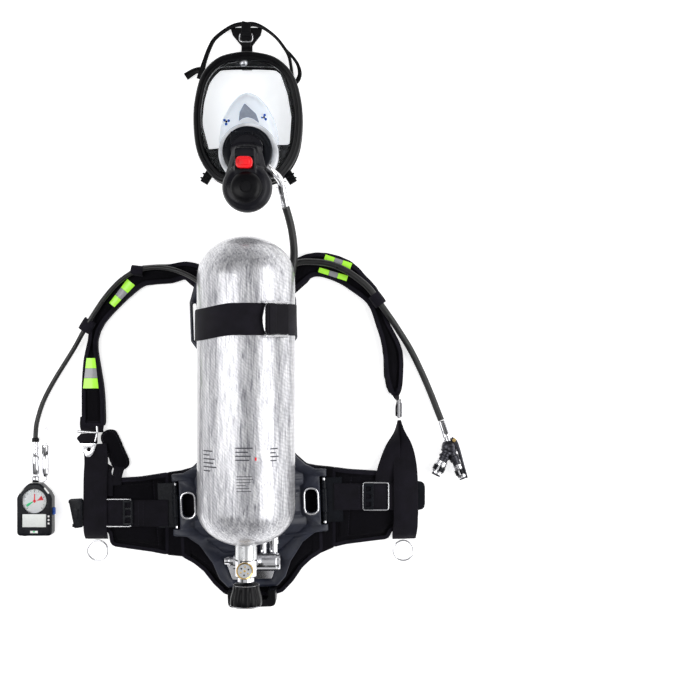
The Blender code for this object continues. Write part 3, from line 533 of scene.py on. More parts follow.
def moulded_material(name, colour, roughness, grain=0.12, scale=1300, coat=0.0, level=0.35):
    """Moulded plastic or rubber: a fine pebbled grain, with the high spots rubbed smoother."""
    mat = principled(name, colour, roughness, **{"Specular IOR Level": level, "Coat Weight": coat,
        "Coat Roughness": 0.2})
    pebbles = texture(mat, "Voronoi", (scale, scale, scale))
    wear = texture(mat, "Noise", (45, 45, 45), Detail=4.0)
    feed(mat, "Base Color", ramp(mat, wear, (0.35, shade(colour, 0.75)), (0.68, shade(colour, 1.25))))
    feed(mat, "Roughness", ramp(mat, wear, (0.35, roughness * 0.85), (0.7, min(1.0, roughness * 1.15))))
    bump(mat, pebbles, grain, 0.5)
    return mat


def fabric_material(name, colour, thread=900, depth=0.35):
    """Coarse plain weave: threads over and under in both directions, with faded high spots."""
    mat = principled(name, colour, 0.85, **{"Sheen Weight": 0.03, "Sheen Roughness": 0.5,
        "Specular IOR Level": 0.1})
    warp = texture(mat, "Wave", (thread, thread, thread), bands_direction="X", Distortion=0.6)
    weft = texture(mat, "Wave", (thread, thread, thread), bands_direction="Y", Distortion=0.6)
    weave = mixed(mat, warp, weft, "DIFFERENCE")
    fade = texture(mat, "Noise", (28, 28, 28), Detail=5.0, Roughness=0.6)
    tone = ramp(mat, fade, (0.3, shade(colour, 0.7)), (0.72, shade(colour, 1.7)))
    feed(mat, "Base Color", mixed(mat, tone, ramp(mat, weave, (0.0, 0.6), (0.6, 1.0))))
    bump(mat, weave, depth, 0.7)
    return mat


def webbing_material(name, colour):
    """Herringbone strap webbing, with ribs across its length in the piece's own map."""
    mat = principled(name, colour, 0.72, **{"Sheen Weight": 0.03, "Specular IOR Level": 0.15})
    ribs = texture(mat, "Wave", (0.001, 420, 1), "Length", bands_direction="Y", Distortion=0.0)
    twill = texture(mat, "Wave", (900, 900, 1), "Length", bands_direction="DIAGONAL", Distortion=0.4)
    fade = texture(mat, "Noise", (40, 40, 40), Detail=4.0)
    weave = mixed(mat, ribs, twill, "MIX", 0.5)
    tone = ramp(mat, fade, (0.3, shade(colour, 0.75)), (0.72, shade(colour, 1.6)))
    feed(mat, "Base Color", mixed(mat, tone, ramp(mat, weave, (0.1, 0.65), (0.7, 1.0))))
    bump(mat, weave, 0.3, 0.6)
    return mat


def hose_material():
    """Extruded rubber hose with a faint wrapped-cloth pattern under its shine."""
    mat = principled("hose_rubber", (0.008, 0.008, 0.009), 0.34, **{"Specular IOR Level": 0.45})
    cloth = texture(mat, "Wave", (1400, 1400, 1), "Length", bands_direction="DIAGONAL", Distortion=0.2)
    scuff = texture(mat, "Noise", (70, 70, 70), Detail=4.0)
    feed(mat, "Roughness", ramp(mat, scuff, (0.3, 0.26), (0.7, 0.46)))
    feed(mat, "Base Color", ramp(mat, scuff, (0.3, 0.006), (0.7, 0.013)))
    bump(mat, cloth, 0.05, 0.4)
    return mat


def clear_material():
    mat = principled("clear_polycarbonate", (0.97, 0.985, 1.0), 0.03, IOR=1.18,
        **{"Transmission Weight": 1.0, "Specular IOR Level": 0.6})
    haze = texture(mat, "Noise", (90, 90, 90), Detail=3.0)
    feed(mat, "Roughness", ramp(mat, haze, (0.4, 0.015), (0.8, 0.06)))
    return mat


def silicone_material():
    mat = principled("milky_silicone_painted_glow", (0.78, 0.83, 0.90), 0.32, **{"Transmission Weight": 0.3,
        "Subsurface Weight": 0.0, "Coat Weight": 0.4})
    cloud = texture(mat, "Noise", (40, 40, 40), Detail=3.0)
    feed(mat, "Base Color", ramp(mat, cloud, (0.3, (0.90, 0.93, 0.97)), (0.7, (0.97, 0.98, 1.0))))
    bump(mat, cloud, 0.2, 0.2)
    # The emission below is a painted glow: it makes the cup read whiter than the lamps light it.
    bsdf = mat.node_tree.nodes["Principled BSDF"]
    bsdf.inputs["Emission Color"].default_value = (0.86, 0.93, 1.0, 1)
    bsdf.inputs["Emission Strength"].default_value = 0.16
    return mat


def retro_material(name, colour, painted_glow):
    """Retroreflective tape: a fine honeycomb of beads under a clear film."""
    # Any emission strength given here is a painted glow: the tape shines although it is no lamp.
    mat = principled(name, colour, 0.32, **{"Coat Weight": 0.4, "Emission Strength": painted_glow})
    mat.node_tree.nodes["Principled BSDF"].inputs["Emission Color"].default_value = (*colour, 1)
    cells = texture(mat, "Voronoi", (700, 700, 700))
    feed(mat, "Base Color", ramp(mat, cells, (0.0, shade(colour, 0.82)), (0.5, colour)))
    bump(mat, cells, 0.08, 0.5)
    return mat


def printed_material(name, colour, roughness=0.45):
    mat = principled(name, colour, roughness)
    grain = texture(mat, "Noise", (500, 500, 500), Detail=2.0)
    feed(mat, "Base Color", ramp(mat, grain, (0.3, shade(colour, 0.92)), (0.7, colour)))
    return mat


make_camera()
make_studio()
M = {"composite_wrap": composite_material(), "aluminium": metal_material("bead_blasted_aluminium", (0.80,
    0.81, 0.82), 0.28, (80, 80, 80)), "chrome": metal_material("plated_chrome", (0.90, 0.90, 0.92), 0.10),
    "steel": metal_material("brushed_steel", (0.72, 0.72, 0.74), 0.20),
    "brass": metal_material("turned_brass", (0.80, 0.56, 0.22), 0.24),
    "rubber": moulded_material("mask_rubber", (0.004, 0.004, 0.005), 0.34, 0.04, 1500, level=0.14),
    "hose_rubber": hose_material(), "moulded_plastic": moulded_material("grained_plate", (0.016, 0.019,
    0.034), 0.46, 0.16, 1100, level=0.5), "black_plastic": moulded_material("satin_black", (0.005, 0.006,
    0.009), 0.28, 0.04, 1500, level=0.14), "padded_fabric": fabric_material("coarse_cordura", (0.0035,
    0.003, 0.005)), "webbing": webbing_material("strap_webbing", (0.006, 0.005, 0.009)),
    "clear_visor": clear_material(), "cup_rubber": silicone_material(),
    "blue_plastic": moulded_material("blue_moulding", (0.02, 0.10, 0.50), 0.3, 0.03, 1500),
    "red_plastic": moulded_material("red_moulding", (0.85, 0.006, 0.012), 0.28, 0.03, 1500, coat=0.3),
    "white_dial": printed_material("dial_white", (0.92, 0.92, 0.90)),}
BINDING = fabric_material("binding_tape", (0.010, 0.009, 0.014), 1400, 0.2)
THREAD = fabric_material("sewing_thread", (0.030, 0.028, 0.040), 2500, 0.1)
# The lime tape's emission of 0.25 is a painted glow; the silver tape has none.
LIME = retro_material("lime_tape", (0.42, 0.95, 0.04), 0.25)
SILVER = retro_material("silver_tape", (0.34, 0.34, 0.36), 0.0)
PRINT = printed_material("black_print", (0.05, 0.05, 0.06))
GREEN = printed_material("green_print", (0.02, 0.70, 0.25))
SCREEN = printed_material("grey_screen", (0.80, 0.83, 0.80), 0.2)

for part in frame["record"]["subparts"]:
    node = NODES[part["node"]]
    node.data.materials.clear()
    node.data.materials.append(M[part["material_slot"]])
    node.data.shade_smooth()
    node.data.set_sharp_from_angle(angle=math.radians(32))


# ---- hoses

GAUGE_ROUTE = [(-14, -175.65, 47), (-14, -167, 46.6), (-16, -157, 44.2), (-20, -148, 40.8), (-27, -136,
    37.8), (-42, -112, 35.5), (-50, -84, 34), (-52, -40, 34), (-52, 30, 34), (-52, 100, 34), (-53, 160, 34),
    (-57, 195, 34), (-69, 222, 34), (-88, 243, 34), (-112, 257, 30), (-140, 266, 25.5), (-168, 267.5, 24),
    (-196, 261, 24), (-221, 246, 24), (-246, 219, 24), (-268, 187, 23), (-286, 158, 18), (-304, 128, 12),
    (-338, 75, 7), (-357, 38, 6.5), (-366.5, 5, 9), (-368, -15, 11.8), (-368, -27, 12.4),]
MASK_ROUTE = [(40, -175.65, 47), (40, -167, 46.7), (42.5, -152, 44.5), (48.5, -134, 41), (57, -106, 37.5),
    (60, -75, 36), (60, -20, 36), (60, 60, 36), (60, 130, 36), (60, 180, 36), (62, 212, 38), (66.5, 240,
    43), (71.5, 264, 47.5), (74, 285, 49.5), (73.5, 305, 51.5), (70.5, 328, 56), (66, 348, 63.5), (61.3,
    364.2, 70.8),]
BUDDY_ROUTE = [(23, -175.65, 47), (23, -167, 46.6), (24.5, -158, 43.6), (27, -148, 40.6), (31, -136, 37.8),
    (39, -112, 36), (44, -84, 35), (44.5, -20, 35), (44.5, 60, 35), (44.5, 130, 35), (44.5, 180, 35), (44.5,
    215, 34.5), (49, 242, 34), (61, 263, 33), (80, 275, 31), (104, 277, 28), (132, 274, 26), (158, 264,
    25.5), (181, 249, 25), (202, 230, 24.5), (220, 205, 23), (232, 188, 22), (246, 168, 17), (270, 130, 9),
    (289, 92, 7), (305, 55, 7), (317, 24, 9), (323.3, 8, 10.4),]
GAUGE_D, MASK_D, BUDDY_D = 8.0, 13.0, 11.0


def make_hose(name, node, route, diameter, blended=False):
    path = evenly(smooth(route, 8), 4.0)
    mesh = tube(path, diameter / 2, 20)
    hose = new_object(name, mesh, M["hose_rubber"], None if blended else "root", (node,))
    if blended:
        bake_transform(hose)


make_hose("gauge_hose_rubber", "gauge_hose", GAUGE_ROUTE, GAUGE_D)
make_hose("mask_hose_rubber", "mask_hose", MASK_ROUTE, MASK_D, blended=True)
make_hose("buddy_hose_rubber", "buddy_hose", BUDDY_ROUTE, BUDDY_D)


# ---- padded pieces


def top_outline(node):
    """The loop round the flat top of a CAD pad, anticlockwise, in millimetres."""
    bm = bmesh.new()
    bm.from_mesh(cad_mesh(node))
    bmesh.ops.remove_doubles(bm, verts=bm.verts, dist=1e-5)
    top = max(v.co.z for v in bm.verts)
    flat = [f for f in bm.faces if f.normal.z > 0.99 and min(v.co.z for v in f.verts) > top - 1e-4]
    inside = set(flat)
    ahead = {}
    for face in flat:
        for loop in face.loops:
            if sum(other in inside for other in loop.edge.link_faces) == 1:
                ahead[loop.vert] = loop.link_loop_next.vert
    start = here = next(iter(ahead))
    outline = []
    while True:
        outline.append(Vector((here.co.x, here.co.y)) / MM)
        here = ahead[here]
        if here is start:
            break
    bm.free()
    return outline


def grown(outline, distance, spacing=5.0):
    """The outline with even points, moved outwards by a distance."""
    path = evenly(outline, spacing, closed=True)
    count = len(path)
    found = []
    for i, here in enumerate(path):
        along = (path[(i + 1) % count] - path[i - 1]).normalized()
        found.append(here + Vector((along.y, -along.x)) * distance)
    return found


def edge_distance(point, outline):
    nearest = 1e9
    for i, a in enumerate(outline):
        b = outline[(i + 1) % len(outline)]
        run = b - a
        t = max(0.0, min(1.0, (point - a).dot(run) / max(run.length_squared, 1e-9)))
        nearest = min(nearest, (point - a - run * t).length)
    return nearest


def blown_up(mesh, cap):
    """The mesh swollen as a cloth bag under pressure, with no point moved further than cap millimetres."""
    bag = bpy.data.objects.new("bag", mesh)
    SCENE.collection.objects.link(bag)
    start = [v.co.copy() for v in mesh.vertices]
    cloth = bag.modifiers.new("Cloth", "CLOTH")
    cloth.settings.use_pressure = True
    cloth.settings.uniform_pressure_force = CLOTH_PRESSURE
    cloth.settings.effector_weights.gravity = 0.0
    cloth.settings.quality = 5
    for step in range(1, CLOTH_FRAMES + 1):
        SCENE.frame_set(step)
    swollen = evaluated_mesh(bag)
    SCENE.frame_set(1)
    bpy.data.objects.remove(bag)
    for vertex, before in zip(swollen.vertices, start):
        moved = vertex.co - before
        if moved.length > cap * MM:
            vertex.co = before + moved.normalized() * cap * MM
    return swollen


def padded_piece(name, node, body, seam=9.0, ridges=()):
    """A foam pad sewn into fabric: crowned, with a sewn channel inside its edge and across its ridges."""
    top = PAD_TOP
    outline = grown(top_outline(node), 0.0)
    start = cad_mesh(node)
    low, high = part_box(node)
    middle = (low.z + high.z) / 2
    for vertex in start.vertices:
        vertex.co.z = middle + (vertex.co.z - middle) * 0.72
    start = modified(start, ("REMESH", {"mode": "VOXEL", "voxel_size": 0.0045}))
    start = blown_up(start, CLOTH_CAP)
    mesh = modified(start, ("SMOOTH", {"factor": 0.5, "iterations": 4}), ("SUBSURF", {"levels": 1,
        "render_levels": 1}))
    lifts = [v.co.z for v in mesh.vertices]
    span = max(lifts) - min(lifts)
    base = min(lifts)
    for vertex in mesh.vertices:
        x, y = vertex.co.x / MM, vertex.co.y / MM
        share = (vertex.co.z - base) / span
        vertex.co.z = (0.3 + (top - 0.5) * share) * MM
        if share < 0.5:
            continue
        here = Vector((x, y))
        inside = edge_distance(here, outline)
        sunk = CHANNEL_DEEP * max(0.0, 1 - abs(inside - seam) / CHANNEL_HALF) ** 2
        for (ax, ay), (bx, by) in ridges:
            run = Vector((bx - ax, by - ay))
            t = max(0.0, min(1.0, (here - Vector((ax, ay))).dot(run) / run.length_squared))
            gap = (here - Vector((ax, ay)) - run * t).length
            sunk = max(sunk, CHANNEL_DEEP * max(0.0, 1 - gap / RIDGE_HALF) ** 2)
        vertex.co.z -= sunk * MM
    pad = place(name, mesh, "padded_fabric", body, node)

    edge = grown(outline, 1.9)
    sections = []
    for i, here in enumerate(edge):
        along = (edge[(i + 1) % len(edge)] - edge[i - 1]).normalized()
        out = Vector((along.y, -along.x, 0))
        spot = Vector((here.x, here.y, 0))
        tape = [(-6.5, top - 0.1), (-2.0, top), (0.2, top - 1.6), (0.9, top / 2), (0.2, 1.8), (-2, 0.35),
            (-6.5, 0.3), (-6.5, 1.2), (-2.4, 1.4), (-1.0, 2.6), (-0.4, top / 2), (-1.0, top - 2.6), (-2.4,
            top - 1.3), (-6.5, top - 1.3)]
        sections.append([spot + out * a + UP * b for a, b in tape])
    new_object(f"{name}_binding", skin(sections, ring=True), BINDING, body)
    runs = [grown(outline, -2.2, 3.0)] + [evenly([a, b], 3.0) for a, b in ridges]
    stitches(f"{name}_stitches", pad, runs, body)


def stitches(name, piece, runs, body):
    """Short raised threads along lines on top of a piece."""
    pitch, length, radius = 4.6, 3.0, 0.42
    tree = BVHTree.FromPolygons([v.co for v in piece.data.vertices],
        [p.vertices for p in piece.data.polygons])
    bm = bmesh.new()
    for run in runs:
        spots = evenly(run, pitch)
        for a, b in zip(spots, spots[1:]):
            along = Vector((b[0] - a[0], b[1] - a[1], 0)).normalized()
            ends = []
            for share in (0.0, 0.2, 0.8, 1.0):
                spot = Vector((a[0], a[1], 0)) + along * length * share
                hit = tree.ray_cast(mm(spot.x, spot.y, 300), -UP)[0]
                if hit is None:
                    break
                ends.append((Vector((spot.x, spot.y, hit.z / MM + 0.15)),
                    radius if 0 < share < 1 else radius * 0.3))
            if len(ends) < 4:
                continue
            side = along.cross(UP)
            rows = []
            for spot, r in ends:
                turns = [math.tau * k / 5 for k in range(5)]
                rows.append([bm.verts.new(mm(spot
                    + side * (r * math.cos(t)) + UP * (r * math.sin(t)))) for t in turns])
            for first, second in zip(rows, rows[1:]):
                for i in range(5):
                    bm.faces.new((first[i], first[(i + 1) % 5], second[(i + 1) % 5], second[i]))
            bm.faces.new(rows[0][::-1])
            bm.faces.new(rows[-1])
    new_object(name, to_mesh(bm), THREAD, body)


LEFT_WING, RIGHT_WING = "hip_wing_left", "hip_wing_right"
lumbar_lines = [(on_plate(-70, -60).xy, on_plate(70, -60).xy), (on_plate(-46, 40).xy, on_plate(46, 40).xy),
    (on_plate(-44, 140).xy, on_plate(44, 140).xy)]
padded_piece("lumbar_padding", "back_pad", "root", ridges=lumbar_lines)
padded_piece("left_shoulder_padding", "shoulder_pad_left", "root", seam=7.0)
padded_piece("right_shoulder_padding", "shoulder_pad_right", "root", seam=7.0)
padded_piece("left_hip_padding", "hip_pad_left", LEFT_WING, ridges=[((-168, -86), (-158, -206))])
padded_piece("right_hip_padding", "hip_pad_right", RIGHT_WING, ridges=[((170, -88), (164, -190))])


# ---- straps


def strap(name, node, stations, body):
    """A length of webbing in place of its CAD solid."""
    return place(name, ribbon(stations, 2.0), "webbing", body, node)


def make_waist_webbing():
    """Waist straps, each with two rows of stitches beside its slider."""
    for side, name, y, ends, body in ((-1, "left", -149, (140, 283), LEFT_WING), (1, "right", -121, (140,
            269), RIGHT_WING)):
        stations = [(side * (ends[0] + 1), y, 19.7, 45, 0), (side * 180, y, 19.9, 45, 0), (side * 200, y,
            20.6, 45, 0), (side * 240, y, 20.4, 45, 0), (side * ends[1], y, 20.1, 45, 0)]
        belt = strap(f"{name}_waist_strap", f"waist_webbing_{name}", stations, body)
        box_x = side * 187
        stitches(f"{name}_waist_stitches", belt, [[Vector((box_x - 4 * k, y - 20)), Vector((box_x - 4 * k,
            y + 20))] for k in (-1, 1)], body)


def make_sliders():
    """Ladder sliders on the waist straps: a wire loop and a slotted plate."""
    for name, body, x0, x1, plate_x, y, z in (("left", LEFT_WING, -247, -203, -208.5, -148, 23.2), ("right",
            RIGHT_WING, 190, 233, 199, -120, 23.2)):
        middle, width = (x0 + x1) / 2, x1 - x0
        loop = rounded(rectangle(middle, y, width, 46), 3)
        wire = tube(evenly([(p.x, p.y, z) for p in loop], 3, closed=True), 1.25, 10, closed=True)
        place(f"{name}_slider_wire", wire, "steel", body)
        holes = [rounded(rectangle(plate_x, y + dy, 9, 8), 1.2, 3) for dy in (-13, 0, 13)]
        edge = rounded(rectangle(plate_x, y, 17, 43), 1.6)
        place(f"{name}_slider_plate", slab([edge, *holes], z - 1.0, z + 2.2, 0.6), "black_plastic", body)


def make_pull_straps():
    left = [(-266, -32, 13.6, 38, 0), (-265, -48, 14.2, 40, 0), (-264, -64, 15.0, 41, 2), (-264, -88, 22.8,
        40, 1), (-264, -130, 24.0, 40, 0), (-264, -168, 23.8, 40, 0), (-264, -184, 19, 40, 0), (-264, -193,
        11, 39, 0)]
    strap("left_pull_strap", "pull_strap_left", left, LEFT_WING)
    outer = [(252, 9, 18, 10, 70), (254, -10, 18.6, 20, 52), (258, -34, 19.5, 32, 24), (261, -62, 21.5, 38,
        6), (262, -90, 24.2, 41, 0), (262.5, -130, 24.6, 41, 0), (262, -168, 24.2, 41, 0), (260, -184, 19,
        41, 0), (260, -193, 11, 40, 0)]
    strap("right_pull_strap", "pull_strap_right", outer, RIGHT_WING)
    inner = [(250, 8, 15, 9, 80), (247, -14, 14.5, 18, 60), (240, -40, 15.2, 28, 24), (234, -66, 17.6, 34,
        8), (230, -84, 18.3, 36, 0), (228, -98, 18.3, 36, 0)]
    strap("right_strap_under", None, inner, RIGHT_WING)
    strap("left_strap_under", None, [(-246, -66, 9, 22, 0), (-252, -78, 16.2, 30, 0), (-252, -96, 18.0, 34,
        0), (-252, -120, 18.2, 34, 0)], LEFT_WING)


def make_pull_rings():
    """Round wire rings at the lower ends of the pull straps."""
    for name, x in (("left", -264), ("right", 259)):
        spots = [(*spot, 2.6) for spot in circle(x, -215, 17, 56)]
        ring = tube(spots, 1.7, 12, closed=True)
        place(f"{name}_ring_wire", ring, "chrome", f"ring_{name}", f"pull_ring_{name}")


def make_band():
    """The cylinder band, straight from its feet and then round the cylinder."""
    radius, thick, half = 80.6, 2.2, 25.0
    shift = math.sin(PLATE_TWIST) * 356
    feet = [(82 - shift, 21.5), (-82 - shift, 21.5)]
    turns = []
    for side, (x, z) in zip((1, -1), feet):
        away = Vector((x, z - CYLINDER_Z))
        turns.append(math.atan2(away.y, away.x) % math.tau + side * math.acos(radius / away.length))
    start, end = turns[0] - math.tau, turns[1]
    steps = 64
    arc = [start + (end - start) * k / steps for k in range(steps + 1)]
    path = [feet[0], *((radius * math.cos(t), CYLINDER_Z + radius * math.sin(t)) for t in arc), feet[1]]
    sections = []
    for i, (x, z) in enumerate(path):
        before, after = Vector(path[max(i - 1, 0)]), Vector(path[min(i + 1, len(path) - 1)])
        along = (after - before).normalized()
        out = Vector((along.y, 0, -along.x))
        share = max(0.0, min(1.0, (-x - 10) / 70))
        middle = 176 - 8.5 * share * share * (3 - 2 * share)
        spot = Vector((x, middle, z))
        across = [(-half, 0), (-half + 0.5, 0.8), (-half + 1.4, 1.1), (0, 1.25), (half - 1.4, 1.1),
            (half - 0.5, 0.8), (half, 0), (half - 0.5, -0.8), (half - 1.4, -1), (0, -1), (-half + 1.4, -1),
            (-half + 0.5, -0.8)]
        sections.append([spot + Vector((0, a, 0)) + out * (b * thick / 2.2) for a, b in across])
    place("band_webbing", skin(sections, angle=60), "webbing", "root", "cylinder_band")


def make_keeper(name, at, heading, length, width, hose_d, lift):
    """A fabric loop that holds a hose to a shoulder strap."""
    along = Vector((math.cos(heading), math.sin(heading), 0))
    side = along.cross(UP)
    tall = hose_d / 2 + 2.2
    outer, inner = [], []
    for k in range(13):
        u = -1 + 2 * k / 12
        arch = max(0.0, math.cos(u * math.pi / 2)) ** 0.55
        outer.append((u * width / 2, lift + tall * arch))
        inner.append((u * (width / 2 - 1.6), lift - 0.2 + (tall - 1.6) * arch))
    outline = outer + [(width / 2, lift - hose_d / 2 - 3), (width / 2 - 1.6,
        lift - hose_d / 2 - 3)] + inner[::-1]
    outline += [(-width / 2 + 1.6, lift - hose_d / 2 - 3), (-width / 2, lift - hose_d / 2 - 3)]
    spots = [Vector(at) + along * (length * s) for s in (-0.5, -0.46, -0.2, 0.2, 0.46, 0.5)]
    swell = (0.94, 1.0, 1.03, 1.03, 1.0, 0.94)
    sections = [[spot + side * (a * w) + UP * b for a, b in outline] for spot, w in zip(spots, swell)]
    new_object(name, skin(sections, angle=50), BINDING, "root")


def tape_patch(name, start, end, widths, ends=(0.36, 0.66)):
    """A reflective patch on a strap: lime, silver and lime again."""
    first, last = Vector(start), Vector(end)
    stops = (0.0, *ends, 1.0)
    for k, (a, b) in enumerate(zip(stops, stops[1:])):
        stations = []
        for s in (a + 0.004, (a + b) / 2, b - 0.004):
            spot = first.lerp(last, s)
            stations.append((spot.x, spot.y, TAPE_Z, widths[0] + (widths[1] - widths[0]) * s, 0))
        mesh = ribbon(stations, 0.9, 3, crown=0.5)
        new_object(f"{name}_{k}", mesh, SILVER if k == 1 else LIME, "root")


def make_holster():
    """The pouch that parks the spare coupling, sewn to the left hip."""
    outline = top_outline("coupling_holster")
    mesh = modified(cad_mesh("coupling_holster"), ("REMESH", {"mode": "VOXEL", "voxel_size": 0.003}),
        ("SMOOTH", {"factor": 0.5, "iterations": 5}), ("SUBSURF", {"levels": 1, "render_levels": 1}))
    pouch = place("holster_pouch", mesh, "padded_fabric", LEFT_WING, "coupling_holster")
    stitches("holster_stitches", pouch, [grown(outline, -2.5, 3)], LEFT_WING)
    neck = [(-226, -72, 7.5, 18, 0), (-228, -82, 11.5, 17, 0), (-229, -92, 16.8, 17, 0), (-229, -102, 17.4,
        17, 0)]
    strap("holster_tab", None, neck, LEFT_WING)


make_waist_webbing()
make_sliders()
make_pull_straps()
make_pull_rings()
make_band()
make_holster()
make_keeper("upper_left_keeper", (-193, 262.5, 0), math.radians(172), 20, 17, GAUGE_D, 24)
make_keeper("lower_left_keeper", (-279, 169.5, 0), math.radians(238), 22, 21, GAUGE_D, 19)
make_keeper("right_keeper", (214, 213.5, 0), math.radians(-54), 22, 21, BUDDY_D, 23.2)
tape_patch("left_upper_tape", (-204.3, 243.5), (-237.4, 204.4), (17, 11.5))
tape_patch("left_lower_tape", (-273, 114.4), (-273, 62.6), (14.8, 26.5), ends=(0.34, 0.66))
tape_patch("right_outer_tape", (124.7, 286.5), (170, 270.5), (8.5, 10.5))
tape_patch("right_inner_tape", (114.5, 264.5), (163.3, 249.5), (8.5, 9.5))

# ---- hips and adjusters


def make_hinge_covers():
    """The fabric under each hinge, and the hinge barrels."""
    ends = {"left": ((-104, -225, -75), (-142, -221.5, -80.5)), "right": ((104, -224, -68), (140, -208.5,
        -71.5))}
    for side, name in ((-1, "left"), (1, "right")):
        (inner, low_in, high_in), (outer, low_out, high_out) = ends[name]
        sections = []
        for k in range(15):
            share = k / 14
            low, high = low_in + (low_out - low_in) * share, high_in + (high_out - high_in) * share
            x = inner + (outer - inner) * share
            sections.append([Vector((x, p.x, p.y)) for p in rounded(rectangle((low + high) / 2, 7.9,
                high - low, 14.6), 4)])
        cover = place(f"{name}_hinge_cover", skin(sections), "padded_fabric", None)
        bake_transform(cover)
        for k in range(6):
            y = BARREL_Y + BARREL_PITCH * k
            barrel = rod(4.4, on_plate(side * 126, y, 22), on_plate(side * 126, y + BARREL_LONG, 22), 20,
                0.8)
            if not -152 < y + 7 < -110:  # the eyelet lies there
                place(f"{name}_hinge_barrel_{k}", barrel, "black_plastic")


def make_adjusters():
    feed_left = ribbon([(-272, 14, 8, 42, 0), (-272, 4, 11, 42, 0), (-272, -5, 12.4, 40, 0), (-272, -9, 10,
        38, 0), (-272, -12, 6, 38, 0)], 1.9)
    strap_in = place("left_adjuster_feed", feed_left, "webbing", None)
    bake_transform(strap_in)
    feed_right = ribbon([(245, 66, 8, 16, 8), (247, 52, 12, 18, 50), (249, 44, 16, 20, 84), (246.2, 30, 17,
        22, 90), (246.2, 16, 17, 22, 90)], 1.9)
    strap_in = place("right_adjuster_feed", feed_right, "webbing", None)
    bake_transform(strap_in)

    fold = rounded([(-298, -22), (-290, -14), (-262, -14), (-262, -31.5), (-291, -31.5)], 2.5)
    place("left_adjuster_fold", slab([fold], 13.3, 15.3, 0.7), "webbing", LEFT_WING)
    bar = [rod(2.3, (-296, -10.5, 16.4), (-262, -12.5, 16.4), 20, 0.6), rod(1.8, (-262, -12.5, 16.4), (-263,
        -1, 15.6), 20, 0.6), rod(1.8, (-262, -12.5, 16.4), (-266, -28, 16), 20, 0.6)]
    place("left_adjuster_bar", joined(bar), "steel", LEFT_WING, "strap_adjuster_left")
    cam = rounded([(-293, -30.5), (-262, -30.5), (-268, -46), (-273.5, -54), (-281, -54), (-287, -44)], 3)
    hole = circle(-276, -41, 3.4, 24)
    place("left_cam_plate", slab([cam, hole], 15.5, 17.4, 0.5), "steel", "cam_left", "adjuster_lever_left")
    fold = ribbon([(252.6, 44, 16, 22, 88), (253.4, 30, 17, 23, 90), (253.2, 14, 17, 20, 88)], 1.6)
    place("right_adjuster_fold", fold, "webbing", RIGHT_WING)


def make_belt_socket():
    """The socket half of the belt buckle: two lids, three walls and a button."""
    edge = rounded([(-309, -125), (-287, -124), (-285, -129), (-285, -172), (-299, -174)], 2.5)
    lids = [slab([edge], low, high, 0.9) for low, high in ((16.3, 18.6), (23.9, 26.3))]
    walls = [block((8, 46, 8), (-290, -149, 21.3), 0.6), block((16, 5, 8), (-301, -129, 21.3), 0.6),
        block((9, 5, 8), (-298, -169.5, 21.3), 0.6)]
    place("belt_socket_shell", joined(lids + walls), "black_plastic", LEFT_WING, "belt_socket")
    button = slab([rounded(rectangle(-296, -149, 9, 18), 2)], 26.0, 27.0, 0.4)
    place("belt_socket_button", button, "black_plastic", LEFT_WING)


def make_band_lever():
    """The lever plate wrapped in the band's folded end; it turns with the CAD lever."""
    turn = Matrix.Rotation(math.radians(38), 4, "Y")
    seat = 82.45
    there = Matrix.Translation(mm(0, 176, 117)) @ turn
    wrap = block((40, 46.5, 3.8), (1.5, 0, seat + 5.6), 1.4)
    fold = block((13, 46.8, 2.2), (-9, 0, seat + 7.9), 0.9)
    for mesh in (wrap, fold):
        mesh.transform(there)
    place("lever_wrap", joined([wrap, fold]), "webbing", "buckle_lever", "band_lever")


# ---- plate


def cut(mesh, *tools):
    """The mesh with closed tool meshes taken out of it."""
    holders = [bpy.data.objects.new("tool", tool) for tool in tools]
    for holder in holders:
        SCENE.collection.objects.link(holder)
    made = modified(mesh, *[("BOOLEAN", {"operation": "DIFFERENCE",
        "object": holder}) for holder in holders])
    for holder in holders:
        bpy.data.objects.remove(holder)
    made.set_sharp_from_angle(angle=math.radians(35))
    return made


def make_plate():
    """The back plate with its moulded panel lines, and the two chrome eyelets."""
    lines = [[(66, -70), (92, -85), (92, -101), (86, -104), (86, -154), (95, -158), (95, -170), (80, -184),
        (54, -186)], [(74, -190), (46, -213), (20, -213)], [(51, -222), (30, -262), (-30, -262), (-51,
        -222)], [(62, -40), (62, 110), (78, 140), (78, 214), (66, 238)]]
    tools = []
    for line in lines:
        for side in (1, -1):
            if side < 0 and line[0][0] == 51:
                continue
            spots = [on_plate(side * x, y, PLATE_TOP + 0.2) for x, y in line]
            tools.append(tube(evenly(spots, 6), 1.5, 8))
    shell = cut(cad_mesh("back_plate"), *tools)
    place("plate_shell", shell, "moulded_plastic", "root", "back_plate")
    for side, name in ((-1, "left"), (1, "right")):
        spots = [on_plate(p.x, p.y, 30.3) for p in rounded(rectangle(side * 104, -131, 23.5, 43.5), 11.5,
            8)]
        ring = tube(evenly(spots, 2.2, closed=True), 1.9, 12, closed=True)
        place(f"{name}_eyelet", ring, "chrome", "root", f"carry_ring_{name}")


# ---- cylinder and valve


def dome(radius, neck, shoulder, end, steps):
    last = math.acos(neck / radius)
    height = (end - shoulder) / math.sin(last)
    return [(radius * math.cos(last * k / steps),
        shoulder + height * math.sin(last * k / steps)) for k in range(steps + 1)]


def make_cylinder():
    inner = CYLINDER_R - 5
    profile = dome(CYLINDER_R, 0.001, 244, 312, 26)[::-1] + dome(CYLINDER_R, 18.2, -127, -186, 22)
    profile += dome(inner, 18.2, -127, -181, 12)[::-1] + dome(inner, 0.001, 244, 307, 12)
    mesh = turned(profile, (0, 0, CYLINDER_Z), (0, 1, 0), 96, 50)
    place("wound_cylinder", mesh, "composite_wrap", "root", "cylinder_wrap")


